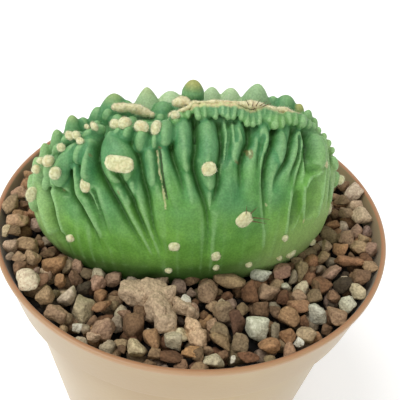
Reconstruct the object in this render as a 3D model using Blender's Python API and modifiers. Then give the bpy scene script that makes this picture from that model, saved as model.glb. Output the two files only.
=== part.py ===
"""A crested lobivia in a round plastic pot, topped with mineral gravel.

The origin is under the middle of the pot, +Z up, and the plant's broad side faces -Y. The plant is worked
out in millimetres, in a frame of its own, and is scaled to metres when its mesh is made.
"""
import math
import random

import bmesh
import bpy
import numpy as np
from mathutils import Matrix, Vector

MM = 0.001
GAP = 0.0003

# Pot, in metres
POT_HEIGHT = 0.105
LIP_RADIUS = 0.060
LIP_HEIGHT = 0.0012
LIP_FLANGE = 0.0002
COLLAR_HEIGHT = 0.0167
COLLAR_FOOT_RADIUS = 0.0570
BODY_TOP_RADIUS = 0.0542
BODY_FOOT_RADIUS = 0.0439
WALL = 0.00125
LEDGE_RISE = 0.0015
FOOT_RING_WIDTH = 0.0030
FLOOR_LIFT = 0.0030
POT_SIDES = 48
HOLE_COUNT = 8
HOLE_RADIUS = 0.0035
HOLE_SIDES = 10
HOLE_RING_RADIUS = 0.0330

# Gravel, in metres
GRAVEL_LEVEL = 0.0990
BULK_TOP = GRAVEL_LEVEL - 0.0026
GRAIN_PITCH = 0.0072
GRAIN_RADII = (0.0032, 0.0042)
GRAIN_SEED = 11

# Loose stones, in metres: each is a few fused lobes, given by their middle, half sizes and turn in degrees
PUMICE_LOBES = [
    ((-0.0148, -0.0337, 0.1014), (0.0034, 0.0036, 0.0029), 0),
    ((-0.0164, -0.0323, 0.1020), (0.0017, 0.0017, 0.0018), 0),
    ((-0.0110, -0.0356, 0.1016), (0.0034, 0.0028, 0.0030), -30),
    ((-0.0090, -0.0341, 0.1018), (0.0040, 0.0032, 0.0033), -10),
    ((-0.0056, -0.0348, 0.1018), (0.0028, 0.0028, 0.0028), 0),
    ((-0.0067, -0.0390, 0.1018), (0.0042, 0.0036, 0.0035), -25),
    ((-0.0047, -0.0426, 0.1012), (0.0030, 0.0034, 0.0031), 10),
    ((-0.0010, -0.0368, 0.1010), (0.0030, 0.0020, 0.0023), -25),
    ((0.0018, -0.0382, 0.1006), (0.0021, 0.0018, 0.0021), -50),
]
TAN_LOBES = [
    ((0.0023, -0.0428, 0.1002), (0.0019, 0.0024, 0.0024), 0),
    ((0.0032, -0.0447, 0.1000), (0.0022, 0.0027, 0.0025), 8),
    ((0.0041, -0.0464, 0.0998), (0.0025, 0.0028, 0.0025), 12),
]
PUMICE_SEED = 3
TAN_SEED = 8

# Plant frame: where its middle stands on the gravel, and how its crest is turned
PLANT_AT = (-0.0040, -0.0040, GRAVEL_LEVEL)
PLANT_TURN = math.radians(10)

# Plant body, in millimetres: half length, half thickness and shift along the crest
FOOT_HALF_LENGTH, FOOT_HALF_THICKNESS, FOOT_SHIFT = 41.5, 23.0, 2.8
BELLY_HALF_LENGTH, BELLY_HALF_THICKNESS, BELLY_SHIFT = 44.2, 25.4, 1.8
CREST_LEFT, CREST_RIGHT = 41.6, 45.8
CREST_TOP, CREST_LEFT_END, CREST_RIGHT_END = 43.0, 15.0, 17.0
FOOT_LEVEL = -1.0
FLANK = 54.0
NECK_DEPTH = 9.0
NECK_SCALE = 0.72

# Creases: depth, half width, and points (round, up) in millimetres. Round is measured along the belly from
# the middle of the front, up along the flank from the foot to the growing line
CREASES = [
    (2.4, 1.02, [(-52.5, 46), (-52, 36), (-51, 26), (-49, 17)]),
    (3.2, 0.94, [(-47.8, 49), (-47.6, 40), (-46.8, 30), (-45, 20), (-43, 12), (-41.5, 6)]),
    (3.9, 0.85, [(-42.8, 44), (-41.4, 37.4), (-40.3, 29.6), (-39.8, 23.2), (-38.8, 17), (-37.8, 11),
                 (-37, 5)]),
    (2.2, 0.6, [(-38.2, 35.6), (-36.4, 33.2), (-34.6, 31.2), (-33, 30)]),
    (3.9, 0.94, [(-35.6, 50), (-34.3, 42), (-33.6, 36), (-33.2, 31), (-31.2, 26.6), (-30, 23.6),
                 (-28.8, 20.8),
                (-27.8, 18.2), (-26.8, 14.6), (-25.4, 9)]),
    (3.1, 0.77, [(-30.4, 47), (-30.7, 41), (-30.3, 36), (-29.6, 32), (-28.3, 29.6), (-27.4, 27), (-26, 23),
                (-24.8, 18.8), (-23, 13)]),
    (2.7, 0.59, [(-27, 31.5), (-26.4, 28.5), (-25.6, 25), (-24.4, 20), (-23, 15)]),
    (4.1, 0.94, [(-22.8, 49.8), (-24.6, 46), (-25.3, 41.5), (-24.8, 37), (-22.8, 31.5), (-21.2, 28),
                 (-19.3, 24),
                (-17.2, 19.5), (-14.5, 14), (-13, 10)]),
    (3.7, 0.77, [(-19.9, 36.5), (-18.5, 32.5), (-17, 29), (-16, 25), (-14.5, 21), (-12.8, 16),
                 (-11.5, 12)]),
    (3.7, 0.85, [(-21.4, 49.8), (-18.6, 47), (-15.8, 43.2), (-14.4, 38.5), (-14, 34.5), (-13, 30),
                 (-12.4, 25.5),
                (-11.6, 20), (-10, 15), (-9, 11)]),
    (2.2, 0.59, [(-10.4, 45), (-10.1, 40), (-10, 36), (-9.2, 32.5), (-8, 28.5), (-7.2, 25)]),
    (3.9, 0.85, [(-6.4, 48.5), (-6.2, 44), (-6.1, 40.5), (-5.2, 36.5), (-4.2, 32), (-3.4, 27)]),
    (4.1, 0.85, [(1.2, 50), (0.4, 45.5), (-0.4, 41), (-1.1, 38), (-0.2, 33), (0.9, 29), (1.9, 25),
                 (2.4, 19), (2.4, 12)]),
    (3.9, 0.85, [(7.2, 49), (6.8, 43.5), (6.1, 40.5), (5, 36.5), (4.6, 32), (3.6, 28), (2.4, 24)]),
    (2.7, 0.68, [(9.6, 49), (9, 45), (7.8, 40.5), (6.4, 35.5)]),
    (1.7, 0.59, [(11.2, 49), (10.6, 45), (10, 42)]),
    (3.9, 0.85, [(14.6, 48), (14, 43.5), (12.4, 41), (11, 37.5), (10.7, 33), (10.6, 28)]),
    (1.7, 0.59, [(16.4, 49), (15.4, 45), (14.6, 42.5)]),
    (2.2, 0.68, [(17.6, 43.5), (16.4, 40), (15.6, 36), (15.4, 31)]),
    (3.9, 0.85, [(21.6, 47.5), (20.3, 43), (18.9, 39.8), (17.5, 35), (17, 31), (17.4, 25), (18.4, 18)]),
    (3.9, 0.77, [(28, 47.4), (26.6, 44), (25.2, 40.6), (23.6, 37), (20.8, 32.6), (19.6, 29)]),
    (3.1, 0.68, [(29.8, 45), (29.2, 41.5), (27.8, 37.6), (25.6, 33.6), (24.6, 29.6)]),
    (2.7, 0.6, [(30.7, 42), (29.4, 37), (27.4, 32), (26.4, 28)]),
    (4.0, 1.05, [(32.0, 47.5), (31.9, 42), (31.2, 37), (30.2, 32.5)]),
    (2.9, 0.85, [(39.4, 46), (39.4, 40), (39.6, 34), (40, 26), (40.6, 18)]),
    (2.7, 0.94, [(43.5, 46), (43.2, 36), (43.6, 26), (44.5, 17)]),
    (2.7, 0.94, [(49.5, 44), (49.2, 34), (49.5, 24), (50, 17)]),
]
BACK_CREASES = 26
BACK_SEED = 5

# Raised pale lines of the skin: height, half width and points, as for the creases
RIDGES = [
    (1.3, 0.9, [(-40.4, 35.8), (-38.6, 31.6), (-37.6, 28.2), (-37.2, 21.4), (-36.2, 15.8)]),
    (1.8, 2.0, [(-45.0, 43), (-44, 37), (-43.4, 30), (-42.4, 21), (-40.6, 13)]),
    (0.7, 0.7, [(-32.4, 43), (-32.5, 35.6), (-32.2, 32.2), (-31.2, 28.6), (-29.6, 25.6), (-27.8, 21.6),
                (-26.2, 17.2)]),
    (2.4, 1.9, [(-26.4, 47.5), (-27.6, 41), (-28.8, 35.6)]),
    (0.9, 0.6, [(24.9, 30), (24.4, 24), (24.8, 18), (25.1, 15)]),
    (0.9, 0.6, [(28.8, 31), (29.6, 24), (30.4, 18.5)]),
    (1.1, 0.7, [(37.4, 36.5), (37.0, 34.4), (36.7, 28), (36.4, 22), (36.2, 17)]),
    (0.9, 0.7, [(42.2, 38), (43.4, 32), (44.4, 27), (45, 21)]),
    (0.5, 0.8, [(16.4, 36), (16.2, 30), (16.6, 24), (18, 16), (18.6, 11)]),
    (1.0, 0.6, [(29.6, 28.5), (30.4, 31.2), (32.2, 32.6), (34.6, 33.7), (36.6, 35.4)]),
]

# Swellings and hollows of the flank: round, up, half width, half height, lift (below 0 for a hollow)
SWELLINGS = [
    (-19.8, 41.5, 5.3, 8.2, 3.0), (-2.8, 43.5, 2.9, 7.5, 1.6),
    (3.0, 40.5, 3.4, 9.5, 1.9), (10.3, 43.0, 2.2, 6.0, 0.9), (18.4, 44.0, 1.7, 4.5, 1.2),
    (22.4, 42.0, 2.0, 6.0, 1.0), (34.6, 41.2, 2.7, 6.4, 2.4), (32.6, 34.4, 1.8, 2.2, -1.2),
    (27.0, 22.5, 1.9, 6.2, -1.8),
    (33.2, 25.5, 2.9, 7.0, -1.7), (-12.0, 38.0, 1.6, 6.0, 0.7), (-17.4, 33.0, 1.3, 6.0, 0.6),
]

# Tubercles on the flank: round, up, half width, half height, how far they stand out
TUBERCLES = [
    (-48.4, 31.0, 1.7, 3.6, 1.8), (-47.0, 37.4, 1.6, 2.8, 2.2), (-44.0, 42.0, 1.7, 3.6, 2.4),
    (-41.0, 38.6, 1.3, 3.0, 1.4), (-39.0, 42.6, 1.9, 3.4, 2.6),
    (-36.0, 38.0, 1.9, 2.8, 2.5), (-40.8, 46.6, 1.5, 2.4, 2.4), (-35.2, 42.2, 2.4, 6.4, 2.2),
    (-36.6, 48.6, 1.5, 2.4, 2.2), (-32.2, 45.6, 1.5, 3.2, 2.0), (-33.8, 50.4, 1.5, 2.2, 2.2),
    (-29.0, 44.4, 1.9, 3.8, 2.8), (-30.8, 49.6, 1.5, 2.2, 2.2), (-27.2, 48.8, 1.5, 2.6, 2.2),
    (-25.0, 49.6, 1.4, 2.2, 2.0), (-19.2, 46.8, 1.5, 3.0, 2.6), (-16.8, 46.4, 1.5, 3.2, 2.9),
    (-13.4, 44.8, 1.9, 3.4, 3.3), (-10.2, 44.6, 1.1, 2.8, 2.2), (-7.5, 46.0, 2.3, 4.0, 2.9),
    (37.6, 46.0, 1.2, 2.0, 1.4), (44.8, 41.5, 1.3, 2.6, 1.2), (49.5, 37.0, 1.7, 2.6, 1.3),
    (53.0, 40.0, 1.5, 2.6, 1.4),
]

# Wool caps on tubercles: round, up, how far out, half width, half height
CAPS = [
    (-19.6, 48.4, 2.6, 1.6, 1.2), (-17.2, 48.0, 2.9, 1.7, 1.6), (-13.2, 46.2, 3.3, 1.9, 1.4),
    (-9.7, 46.2, 2.4, 1.3, 2.0), (-4.3, 49.6, 1.9, 1.2, 1.2), (-35.4, 38.8, 3.0, 1.4, 1.7),
    (-37.6, 43.6, 3.0, 1.4, 1.6),
    (-34.0, 46.4, 2.8, 1.1, 1.1), (-41.6, 43.0, 3.4, 1.1, 1.2), (-40.0, 45.2, 3.4, 0.9, 1.0),
    (-44.4, 34.4, 2.8, 0.9, 2.4), (-28.4, 45.8, 3.2, 1.0, 0.9), (-31.4, 48.8, 3.0, 1.3, 1.1),
    (-29.6, 48.0, 3.0, 1.2, 1.1), (-27.0, 50.0, 2.5, 0.9, 0.6), (-25.0, 49.2, 2.7, 1.4, 0.8),
    (49.5, 36.6, 1.5, 1.2, 1.5),
]

# Fingers that hang over the front from the growing line: place of the root (along, behind, height) in the
# plant frame, place of the tip (round, up), how far the tip stands out, radius at the root and at the tip
FINGERS = [
    ((-3.9, -1.6, 41.2), (-4.2, 47.8), 1.4, 1.1, 1.1), ((-2.2, -1.8, 42.0), (-2.6, 49.0), 1.2, 1.0, 0.8),
    ((0.2, -2.3, 42.6), (-1.2, 49.4), 1.2, 1.1, 0.8), ((2.1, -1.6, 44.2), (1.6, 48.5), 1.4, 1.2, 0.8),
    ((4.2, -1.5, 44.6), (3.2, 48.9), 1.2, 1.1, 0.7), ((5.7, -1.5, 44.6), (4.8, 49.3), 1.1, 0.9, 0.6),
    ((7.2, -1.5, 44.5), (6.0, 48.5), 1.2, 1.0, 0.7), ((9.0, -1.5, 44.7), (8.2, 49.3), 1.1, 1.1, 0.7),
    ((10.6, -1.5, 44.8), (9.0, 48.3), 1.2, 1.0, 0.7), ((12.6, -1.5, 44.6), (10.4, 48.3), 1.2, 1.2, 0.7),
    ((14.4, -2.0, 43.5), (12.6, 48.1), 1.2, 1.1, 0.8), ((15.9, -2.3, 43.1), (13.5, 46.4), 1.4, 1.0, 0.8),
    ((17.5, -2.3, 42.9), (15.1, 46.2), 1.4, 1.0, 0.8), ((19.2, -2.2, 43.3), (16.8, 46.6), 1.4, 1.1, 0.8),
    ((20.8, -1.7, 43.7), (18.5, 48.0), 1.2, 1.0, 0.7), ((22.2, -2.0, 43.1), (19.7, 47.0), 1.4, 1.2, 0.9),
    ((23.8, -2.0, 42.5), (20.6, 45.6), 1.8, 1.3, 1.2), ((25.4, -2.2, 41.4), (22.6, 46.2), 1.8, 1.4, 1.2),
    ((27.6, -1.6, 41.2), (25.0, 47.6), 1.6, 1.5, 1.4), ((29.6, -1.6, 41.2), (26.8, 47.6), 1.6, 1.4, 1.2),
    ((31.4, -1.6, 40.2), (29.0, 47.4), 1.8, 1.7, 1.7), ((33.4, -1.0, 38.4), (32.2, 48.6), 1.4, 1.2, 1.2),
    ((35.0, -0.6, 36.6), (34.4, 49.4), 1.3, 1.1, 1.0), ((36.8, -0.4, 34.6), (36.8, 49.6), 1.2, 1.1, 1.0),
    ((38.8, -0.4, 32.0), (39.2, 49.2), 1.2, 1.1, 1.0), ((40.4, -0.4, 29.4), (41.4, 48.4), 1.2, 1.1, 1.0),
    ((41.8, -0.4, 26.4), (43.6, 47.4), 1.2, 1.0, 0.9),
]

# Tall tubercles behind the growing line, in the plant frame: along, behind, height of the tip, half width,
# depth of the shoulder below the tip, and sharpness: 0.5 for a dome, 1 for a straight cone
TALL_TUBERCLES = [
    (-30.6, 4.0, 38.9, 2.7, 4.5, 0.5), (-27.8, 5.0, 37.6, 2.4, 3.0, 0.5), (-35.0, 4.0, 34.4, 2.4, 4.0, 0.5),
    (-38.6, 3.4, 30.4, 2.2, 4.0, 0.5), (-41.2, 2.6, 26.2, 2.0, 3.6, 0.5), (-43.2, 2.0, 20.6, 1.9, 3.6, 0.5),
    (-23.8, 7.0, 39.6, 3.0, 4.0, 0.5), (-19.2, 9.0, 42.6, 6.4, 8.5, 0.55),
    (-16.0, 8.0, 41.1, 3.5, 4.0, 0.5), (-24.0, 2.4, 38.2, 1.6, 2.4, 0.42),
    (-20.9, 4.5, 40.5, 1.9, 2.2, 0.42), (-18.4, 1.6, 40.6, 2.2, 2.4, 0.45),
    (-14.6, 1.0, 40.2, 2.5, 2.6, 0.45), (-11.2, 0.4, 39.4, 2.2, 2.4, 0.45),
    (-16.4, -3.0, 39.6, 1.7, 2.4, 0.45), (-12.8, -3.4, 39.2, 1.8, 2.4, 0.45),
    (-9.6, -2.6, 39.0, 1.6, 2.4, 0.45), (-6.8, -3.2, 39.6, 2.0, 2.4, 0.45),
    (-10.0, 11.0, 43.6, 4.6, 7.0, 0.66), (-3.1, 12.0, 41.6, 5.0, 5.0, 0.5),
    (0.6, 12.0, 40.6, 3.4, 4.0, 0.5), (-5.8, 6.5, 41.4, 3.7, 3.4, 0.42), (-6.8, 2.0, 40.4, 2.0, 2.6, 0.45),
    (2.3, 6.4, 48.2, 3.1, 3.2, 0.42), (8.7, 12.0, 43.0, 3.3, 4.0, 0.52), (14.3, 12.0, 42.7, 3.9, 4.5, 0.52),
    (21.6, 10.5, 44.9, 5.0, 7.0, 0.56), (26.6, 10.0, 41.2, 3.0, 4.0, 0.5),
    (30.3, 9.0, 42.0, 4.1, 4.5, 0.45), (33.8, 7.0, 40.4, 2.3, 3.5, 0.45),
    (35.7, 4.0, 40.2, 1.7, 2.5, 0.42), (37.8, 3.4, 37.9, 1.5, 2.2, 0.42),
    (38.6, 3.0, 35.6, 1.3, 2.2, 0.4), (39.4, 2.6, 33.8, 1.4, 2.2, 0.4),
    (41.0, 2.2, 32.2, 1.3, 2.2, 0.4), (42.2, 1.8, 30.2, 1.3, 2.2, 0.4),
    (43.0, 1.4, 27.8, 1.2, 2.2, 0.4), (43.8, 1.0, 24.6, 1.2, 2.2, 0.4),
]

# How deep a tall tubercle is rooted, how high a pad of felt stands, and how far a cap of wool sinks in
TALL_ROOT = 9.0
PAD_HEIGHT = 1.0
CAP_SINK = 0.3

# Slimming of a tubercle's outer end, and the way in which the tall ones point, in the plant frame: they
# spread along the crest
KNOB_POINT = 0.12
TALL_SPREAD = 0.02
TALL_LEAN = (0.9, 6)

BACK_TUBERCLES = 18

# Woolly areoles on the front: round, up, half width, half height, tilt in degrees
AREOLES = [
    (-18.9, 38.3, 3.8, 2.1, 2), (-28.9, 33.9, 1.45, 2.0, 0), (-35.3, 15.4, 1.3, 1.2, 20),
    (-6.5, 15.6, 1.5, 1.4, 0), (-8.2, 7.2, 1.1, 0.8, -20), (4.8, 11.8, 1.3, 1.6, 0),
    (5.2, 7.6, 0.9, 1.0, 0), (15.2, 6.8, 1.0, 0.8, 20), (25.5, 6.2, 0.8, 0.7, 10),
    (30.2, 5.8, 1.7, 0.9, 25), (41.5, 4.6, 1.2, 0.8, 20), (25.1, 14.2, 0.8, 1.2, 0),
    (11.6, 22.5, 2.3, 2.1, 30), (2.3, 36.4, 1.9, 1.7, 15), (37.8, 37.6, 1.1, 1.6, 0),
    (52.0, 17.0, 1.9, 1.7, 0),
]
BACK_AREOLES = 12

# Spines: round, up, length, lean to the side and lean up, both in degrees from straight out
SPINES = [
    (12.0, 23.4, 5.5, -8, 62), (13.0, 23.6, 4.6, 14, 58), (14.2, 22.6, 4.4, 62, 6),
    (14.0, 21.6, 3.8, 66, -8),
    (52.6, 17.0, 6.5, 24, -6), (52.2, 16.2, 5.0, 8, -18),
]

# Spines that stand in the wool: place in the plant frame, length, lean along the crest and lean to the front
WOOL_SPINES = [
    ((16.6, -1.4, 44.6), 3.6, -26, 20), ((17.4, -1.6, 44.6), 4.2, -10, 36), ((18.3, -1.6, 44.6),
    4.4, 6, 28),
    ((19.2, -1.5, 44.6), 4.0, 22, 34), ((17.9, -1.8, 44.2), 3.6, -4, 58), ((20.0, -1.4, 44.4), 3.4, 38, 30),
]

# Wool along the crest, in the plant frame: points with the radius there, for the growing line and its branch
WOOL_LINES = [
    [(-19.4, 3.0, 42.0, 1.0), (-17.8, 3.0, 41.8, 1.4), (-16.2, 3.0, 41.8, 1.3), (-14.6, 3.0, 41.6, 1.3),
     (-12.4, 3.0, 41.0, 1.6), (-11.0, 2.7, 40.5, 1.4), (-9.0, 2.2, 40.2, 1.0), (-7.0, 2.0, 41.4, 0.7),
     (-4.6, 2.4, 43.0, 0.8), (-2.6, 2.5, 43.5, 1.4), (-1.4, 2.5, 43.7, 1.7), (-0.2, 2.4, 43.9, 1.3),
     (0.8, 1.2, 44.0, 0.9), (1.8, 0.4, 44.6, 0.7), (4.1, 0.4, 44.8, 0.6), (6.0, 0.1, 45.0, 0.8),
     (7.2, -0.1, 45.2, 0.9), (8.6, 0.2, 45.0, 0.7), (11.0, 0.3, 44.9, 0.6), (13.6, 0.1, 44.8, 0.7),
     (15.8, -0.4, 44.6, 1.1), (17.7, -0.8, 44.6, 1.5), (19.6, -0.8, 44.4, 1.3), (21.2, -0.4, 43.8, 0.8),
     (23.3, -0.8, 43.3, 1.0), (25.0, -0.2, 42.8, 0.8), (26.8, 0.0, 42.6, 1.2), (28.6, 0.0, 42.0, 0.8),
     (31.3, 0.2, 41.0, 0.6), (33.0, 0.2, 39.6, 0.6), (34.5, 0.2, 38.2, 0.5)],
    [(-4.3, -2.0, 42.3, 0.9), (-3.2, -1.8, 42.5, 0.9), (-1.8, -1.2, 43.0, 0.7), (-0.4, -0.6, 43.4, 0.8),
     (0.8, 0.2, 44.0, 0.8), (1.8, 0.4, 44.6, 0.7)],
]

# Radius of a spine at its root and tip, and how deep it is rooted, in millimetres
SPINE_RADIUS = 0.30
SPINE_TIP_RADIUS = 0.08
SPINE_ROOT = 1.5

# How far the crest sinks behind its front line, and how far the ribs stand out from the smooth body
CREST_DIP = 4.0
SKIN_LIFT = 0.9

# Mesh fineness of the body
COLUMNS = 220
ROWS = 60
EVEN_FACE = 0.0005
BODY_FACES = 8200
STONE_THINNING = 0.2


def clear_scene():
    """Remove every object that the file opens with."""
    for thing in list(bpy.data.objects):
        bpy.data.objects.remove(thing, do_unlink=True)


def new_collection(name):
    """Add a collection to the scene."""
    made = bpy.data.collections.new(name)
    bpy.context.scene.collection.children.link(made)
    return made


clear_scene()
PARTS = new_collection("potted_lobivia")
CUTTERS = new_collection("cutters")


def plain_material(name, colour, roughness):
    """A Principled material of one colour."""
    made = bpy.data.materials.new(name)
    made.use_nodes = True
    shader = made.node_tree.nodes["Principled BSDF"]
    shader.inputs["Base Color"].default_value = (*colour, 1)
    shader.inputs["Roughness"].default_value = roughness
    shader.inputs["Metallic"].default_value = 0
    return made


def object_of(name, mesh, home=PARTS):
    """Put a mesh in the scene as an object."""
    made = bpy.data.objects.new(name, mesh)
    home.objects.link(made)
    return made


def mesh_of(name, form):
    """Turn a bmesh into a mesh, with its faces pointing out."""
    bmesh.ops.recalc_face_normals(form, faces=form.faces)
    made = bpy.data.meshes.new(name)
    form.to_mesh(made)
    form.free()
    return made


def hide_cutter(thing):
    """Show a cutter as wire and leave it out of renders."""
    thing.hide_render = True
    thing.display_type = "WIRE"
    return thing


def apply_modifiers(thing):
    """Bake an object's modifiers into its mesh."""
    graph = bpy.context.evaluated_depsgraph_get()
    baked = bpy.data.meshes.new_from_object(thing.evaluated_get(graph))
    thing.modifiers.clear()
    thing.data = baked


def boolean(thing, operation, other=None, group=None):
    """Cut or join an object with another object or with a collection, and apply it."""
    step = thing.modifiers.new(operation.lower(), "BOOLEAN")
    step.operation = operation
    step.solver = "EXACT"
    if group:
        step.operand_type = "COLLECTION"
        step.collection = group
    else:
        step.object = other
    apply_modifiers(thing)


def join_repeats(thing, pieces):
    """Fuse a list of objects to the one that they grow from, then remove them."""
    group = new_collection(thing.name + "_repeats")
    for piece in pieces:
        group.objects.link(piece)
        PARTS.objects.unlink(piece)
    boolean(thing, "UNION", group=group)
    for piece in pieces:
        bpy.data.objects.remove(piece, do_unlink=True)
    bpy.data.collections.remove(group)
    keep_largest_body(thing)


def keep_largest_body(thing):
    """Drop loose scraps and sealed hollows, which are the smaller bodies of the mesh."""
    form = bmesh.new()
    form.from_mesh(thing.data)
    left = set(form.verts)
    bodies = []
    while left:
        body, edge = set(), [left.pop()]
        while edge:
            vert = edge.pop()
            body.add(vert)
            near = {link.other_vert(vert) for link in vert.link_edges} & left
            left -= near
            edge.extend(near)
        bodies.append(body)
    bodies.sort(key=len)
    for body in bodies[:-1]:
        bmesh.ops.delete(form, geom=list(body), context="VERTS")
    form.to_mesh(thing.data)
    form.free()


def even_out(thing, size, faces):
    """Give a fused piece faces of one size, then thin them to about the number wanted."""
    even = thing.modifiers.new("even", "REMESH")
    even.mode = "VOXEL"
    even.voxel_size = size
    apply_modifiers(thing)
    thin = thing.modifiers.new("thin", "DECIMATE")
    thin.ratio = faces / (2 * len(thing.data.polygons))
    apply_modifiers(thing)
    keep_largest_body(thing)


def wall_radius(height, inset):
    """Radius of the pot's wall at a height, measured in by inset from its outer face."""
    step = POT_HEIGHT - COLLAR_HEIGHT
    if height >= step:
        share = (height - step) / COLLAR_HEIGHT
        return COLLAR_FOOT_RADIUS + share * (LIP_RADIUS - LIP_FLANGE - COLLAR_FOOT_RADIUS) - inset
    share = height / step
    return BODY_FOOT_RADIUS + share * (BODY_TOP_RADIUS - BODY_FOOT_RADIUS) - inset


def turned(name, profile, sides):
    """Turn a profile of (radius, height) round Z."""
    mesh = bpy.data.meshes.new(name)
    edges = [(i, i + 1) for i in range(len(profile) - 1)]
    mesh.from_pydata([(radius, 0, height) for radius, height in profile], edges, [])
    made = object_of(name, mesh)
    screw = made.modifiers.new("turn", "SCREW")
    screw.steps = sides
    screw.render_steps = sides
    screw.use_merge_vertices = True
    screw.merge_threshold = 0.00005
    return made


def build_pot():
    """Thin-walled pot with a lip, a collar, a tapered body, a foot ring and drainage holes."""
    step = POT_HEIGHT - COLLAR_HEIGHT
    floor_top = FLOOR_LIFT + WALL
    lip_foot = POT_HEIGHT - LIP_HEIGHT
    profile = [
        (0, floor_top),
        (wall_radius(floor_top, WALL), floor_top),
        (wall_radius(step - WALL, WALL), step),
        (wall_radius(step + WALL, WALL), step + LEDGE_RISE),
        (wall_radius(POT_HEIGHT, WALL), POT_HEIGHT - 0.0004),
        (wall_radius(POT_HEIGHT, WALL - 0.0005), POT_HEIGHT),
        (LIP_RADIUS - 0.0005, POT_HEIGHT),
        (LIP_RADIUS, POT_HEIGHT - 0.0005),
        (LIP_RADIUS, lip_foot + 0.0003),
        (wall_radius(lip_foot, 0), lip_foot),
        (wall_radius(step, 0), step + 0.0004),
        (wall_radius(step, 0.0005), step),
        (BODY_TOP_RADIUS, step - 0.0004),
        (BODY_FOOT_RADIUS, 0.0006),
        (BODY_FOOT_RADIUS - 0.0006, 0),
        (BODY_FOOT_RADIUS - FOOT_RING_WIDTH, 0),
        (BODY_FOOT_RADIUS - FOOT_RING_WIDTH - 0.0008, FLOOR_LIFT),
        (0, FLOOR_LIFT),
    ]
    pot = turned("pot", profile, POT_SIDES)
    apply_modifiers(pot)
    group = new_collection("drainage")
    for i in range(HOLE_COUNT):
        angle = math.tau * (i + 0.5) / HOLE_COUNT
        form = bmesh.new()
        bmesh.ops.create_cone(form, cap_ends=True, segments=HOLE_SIDES, radius1=HOLE_RADIUS,
                              radius2=HOLE_RADIUS,
                              depth=0.01)
        hole = hide_cutter(object_of(f"hole_{i}", mesh_of("hole", form), CUTTERS))
        reach = HOLE_RING_RADIUS
        hole.location = (reach * math.cos(angle), reach * math.sin(angle), FLOOR_LIFT + WALL / 2)
        group.objects.link(hole)
    boolean(pot, "DIFFERENCE", group=group)
    pot.data.materials.clear()
    pot.data.materials.append(plain_material("pot_plastic", (0.62, 0.36, 0.20), 0.45))
    pot.data.shade_smooth()
    pot.data.set_sharp_from_angle(angle=math.radians(35))
    return pot


def growing_line(along):
    """The crest's growing line in the plant frame, from -1 at its left end to 1 at its right end."""
    along = np.clip(along, -1, 1)
    left = along < 0
    end = np.where(left, CREST_LEFT_END, CREST_RIGHT_END)
    bulge = np.where(left, 2.5, 4.0)
    power = np.where(left, 0.52, 0.55)
    x = np.where(left, CREST_LEFT, CREST_RIGHT) * along
    z = end + (CREST_TOP - end) * (1 - np.abs(along) ** bulge) ** power
    return np.stack([x, np.sin(2.2 * along) + 0.5, z], -1)


def flank(angle, rise):
    """Smooth body: angle -pi at the left end, -pi/2 in front, 0 right; rise from foot 0 to crest 1."""
    angle, rise = np.broadcast_arrays(np.asarray(angle, float), np.asarray(rise, float))
    c, s = np.cos(angle), np.sin(angle)
    top = growing_line(c)
    foot = np.stack([FOOT_SHIFT + FOOT_HALF_LENGTH * c, FOOT_HALF_THICKNESS * s, 0 * c + FOOT_LEVEL], -1)
    belly_x = BELLY_SHIFT + BELLY_HALF_LENGTH * c
    belly_y = BELLY_HALF_THICKNESS * s
    low = np.stack([foot[..., 0] + 1.5 * (belly_x - foot[..., 0]),
                    foot[..., 1] + 1.4 * (belly_y - foot[..., 1]), 0.45 * top[..., 2]], -1)
    full = np.where(s < 0, 1.05, 0.92)
    high = np.stack([top[..., 0] + 1.05 * (belly_x - top[..., 0]),
                     top[..., 1] + full * (belly_y - top[..., 1]), top[..., 2]], -1)
    t = rise[..., None]
    return foot * (1 - t) ** 3 + 3 * low * t * (1 - t) ** 2 + 3 * high * t**2 * (1 - t) + top * t**3


def girth_table():
    """Distance along the belly for each angle, zero in the middle of the front."""
    angles = np.linspace(-math.pi, math.pi, 2001)
    pace = np.hypot(BELLY_HALF_LENGTH * np.sin(angles), BELLY_HALF_THICKNESS * np.cos(angles))
    length = np.concatenate([[0], np.cumsum(0.5 * (pace[1:] + pace[:-1]) * np.diff(angles))])
    return angles, length - np.interp(-math.pi / 2, angles, length)


ANGLES, LENGTHS = girth_table()
GIRTH = LENGTHS[-1] - LENGTHS[0]


def angle_of(around):
    """Angle on the body for a distance along the belly."""
    around = (np.asarray(around, float) - LENGTHS[0]) % GIRTH + LENGTHS[0]
    return np.interp(around, LENGTHS, ANGLES)


def smooth_path(points, steps=4):
    """Points along a smooth curve through the given ones."""
    p = np.asarray(points, float)
    p = np.vstack([2 * p[0] - p[1], p, 2 * p[-1] - p[-2]])
    out = []
    for a, b, c, d in zip(p[:-3], p[1:-2], p[2:-1], p[3:]):
        for f in np.arange(steps) / steps:
            out.append(0.5 * (2 * b + (c - a) * f + (2 * a - 5 * b + 4 * c - d) * f**2
                              + (3 * b - a - 3 * c + d) * f**3))
    out.append(p[-2])
    return np.array(out)


def back_creases():
    """Creases of the hidden side, spaced by a seeded rule."""
    draw = random.Random(BACK_SEED)
    half = GIRTH / 4
    pace = 2 * half / BACK_CREASES
    made = []
    for i in range(BACK_CREASES):
        start = half + pace * (i + 0.5 + draw.uniform(-0.25, 0.25))
        lean = 0.16 * (start - 2 * half) / half
        foot = draw.choice((8, 12, 18, 26))
        path = [(start, 49), (start - lean * 12 + draw.uniform(-1, 1), 40), (start - lean * 30, foot)]
        made.append((draw.uniform(2.0, 3.4), draw.uniform(0.8, 1.2), path))
    return made


def off_path(around, up, path, i):
    """Distance from one piece of a path on the skin, and the place along the whole path."""
    a, b = path[i], path[i + 1]
    run = b - a
    off = (around - a[0] + GIRTH / 2) % GIRTH - GIRTH / 2
    share = np.clip((off * run[0] + (up - a[1]) * run[1]) / (run @ run), 0, 1)
    away = np.hypot(off - share * run[0], up - a[1] - share * run[1])
    return away, (i + share) / (len(path) - 1)


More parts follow.
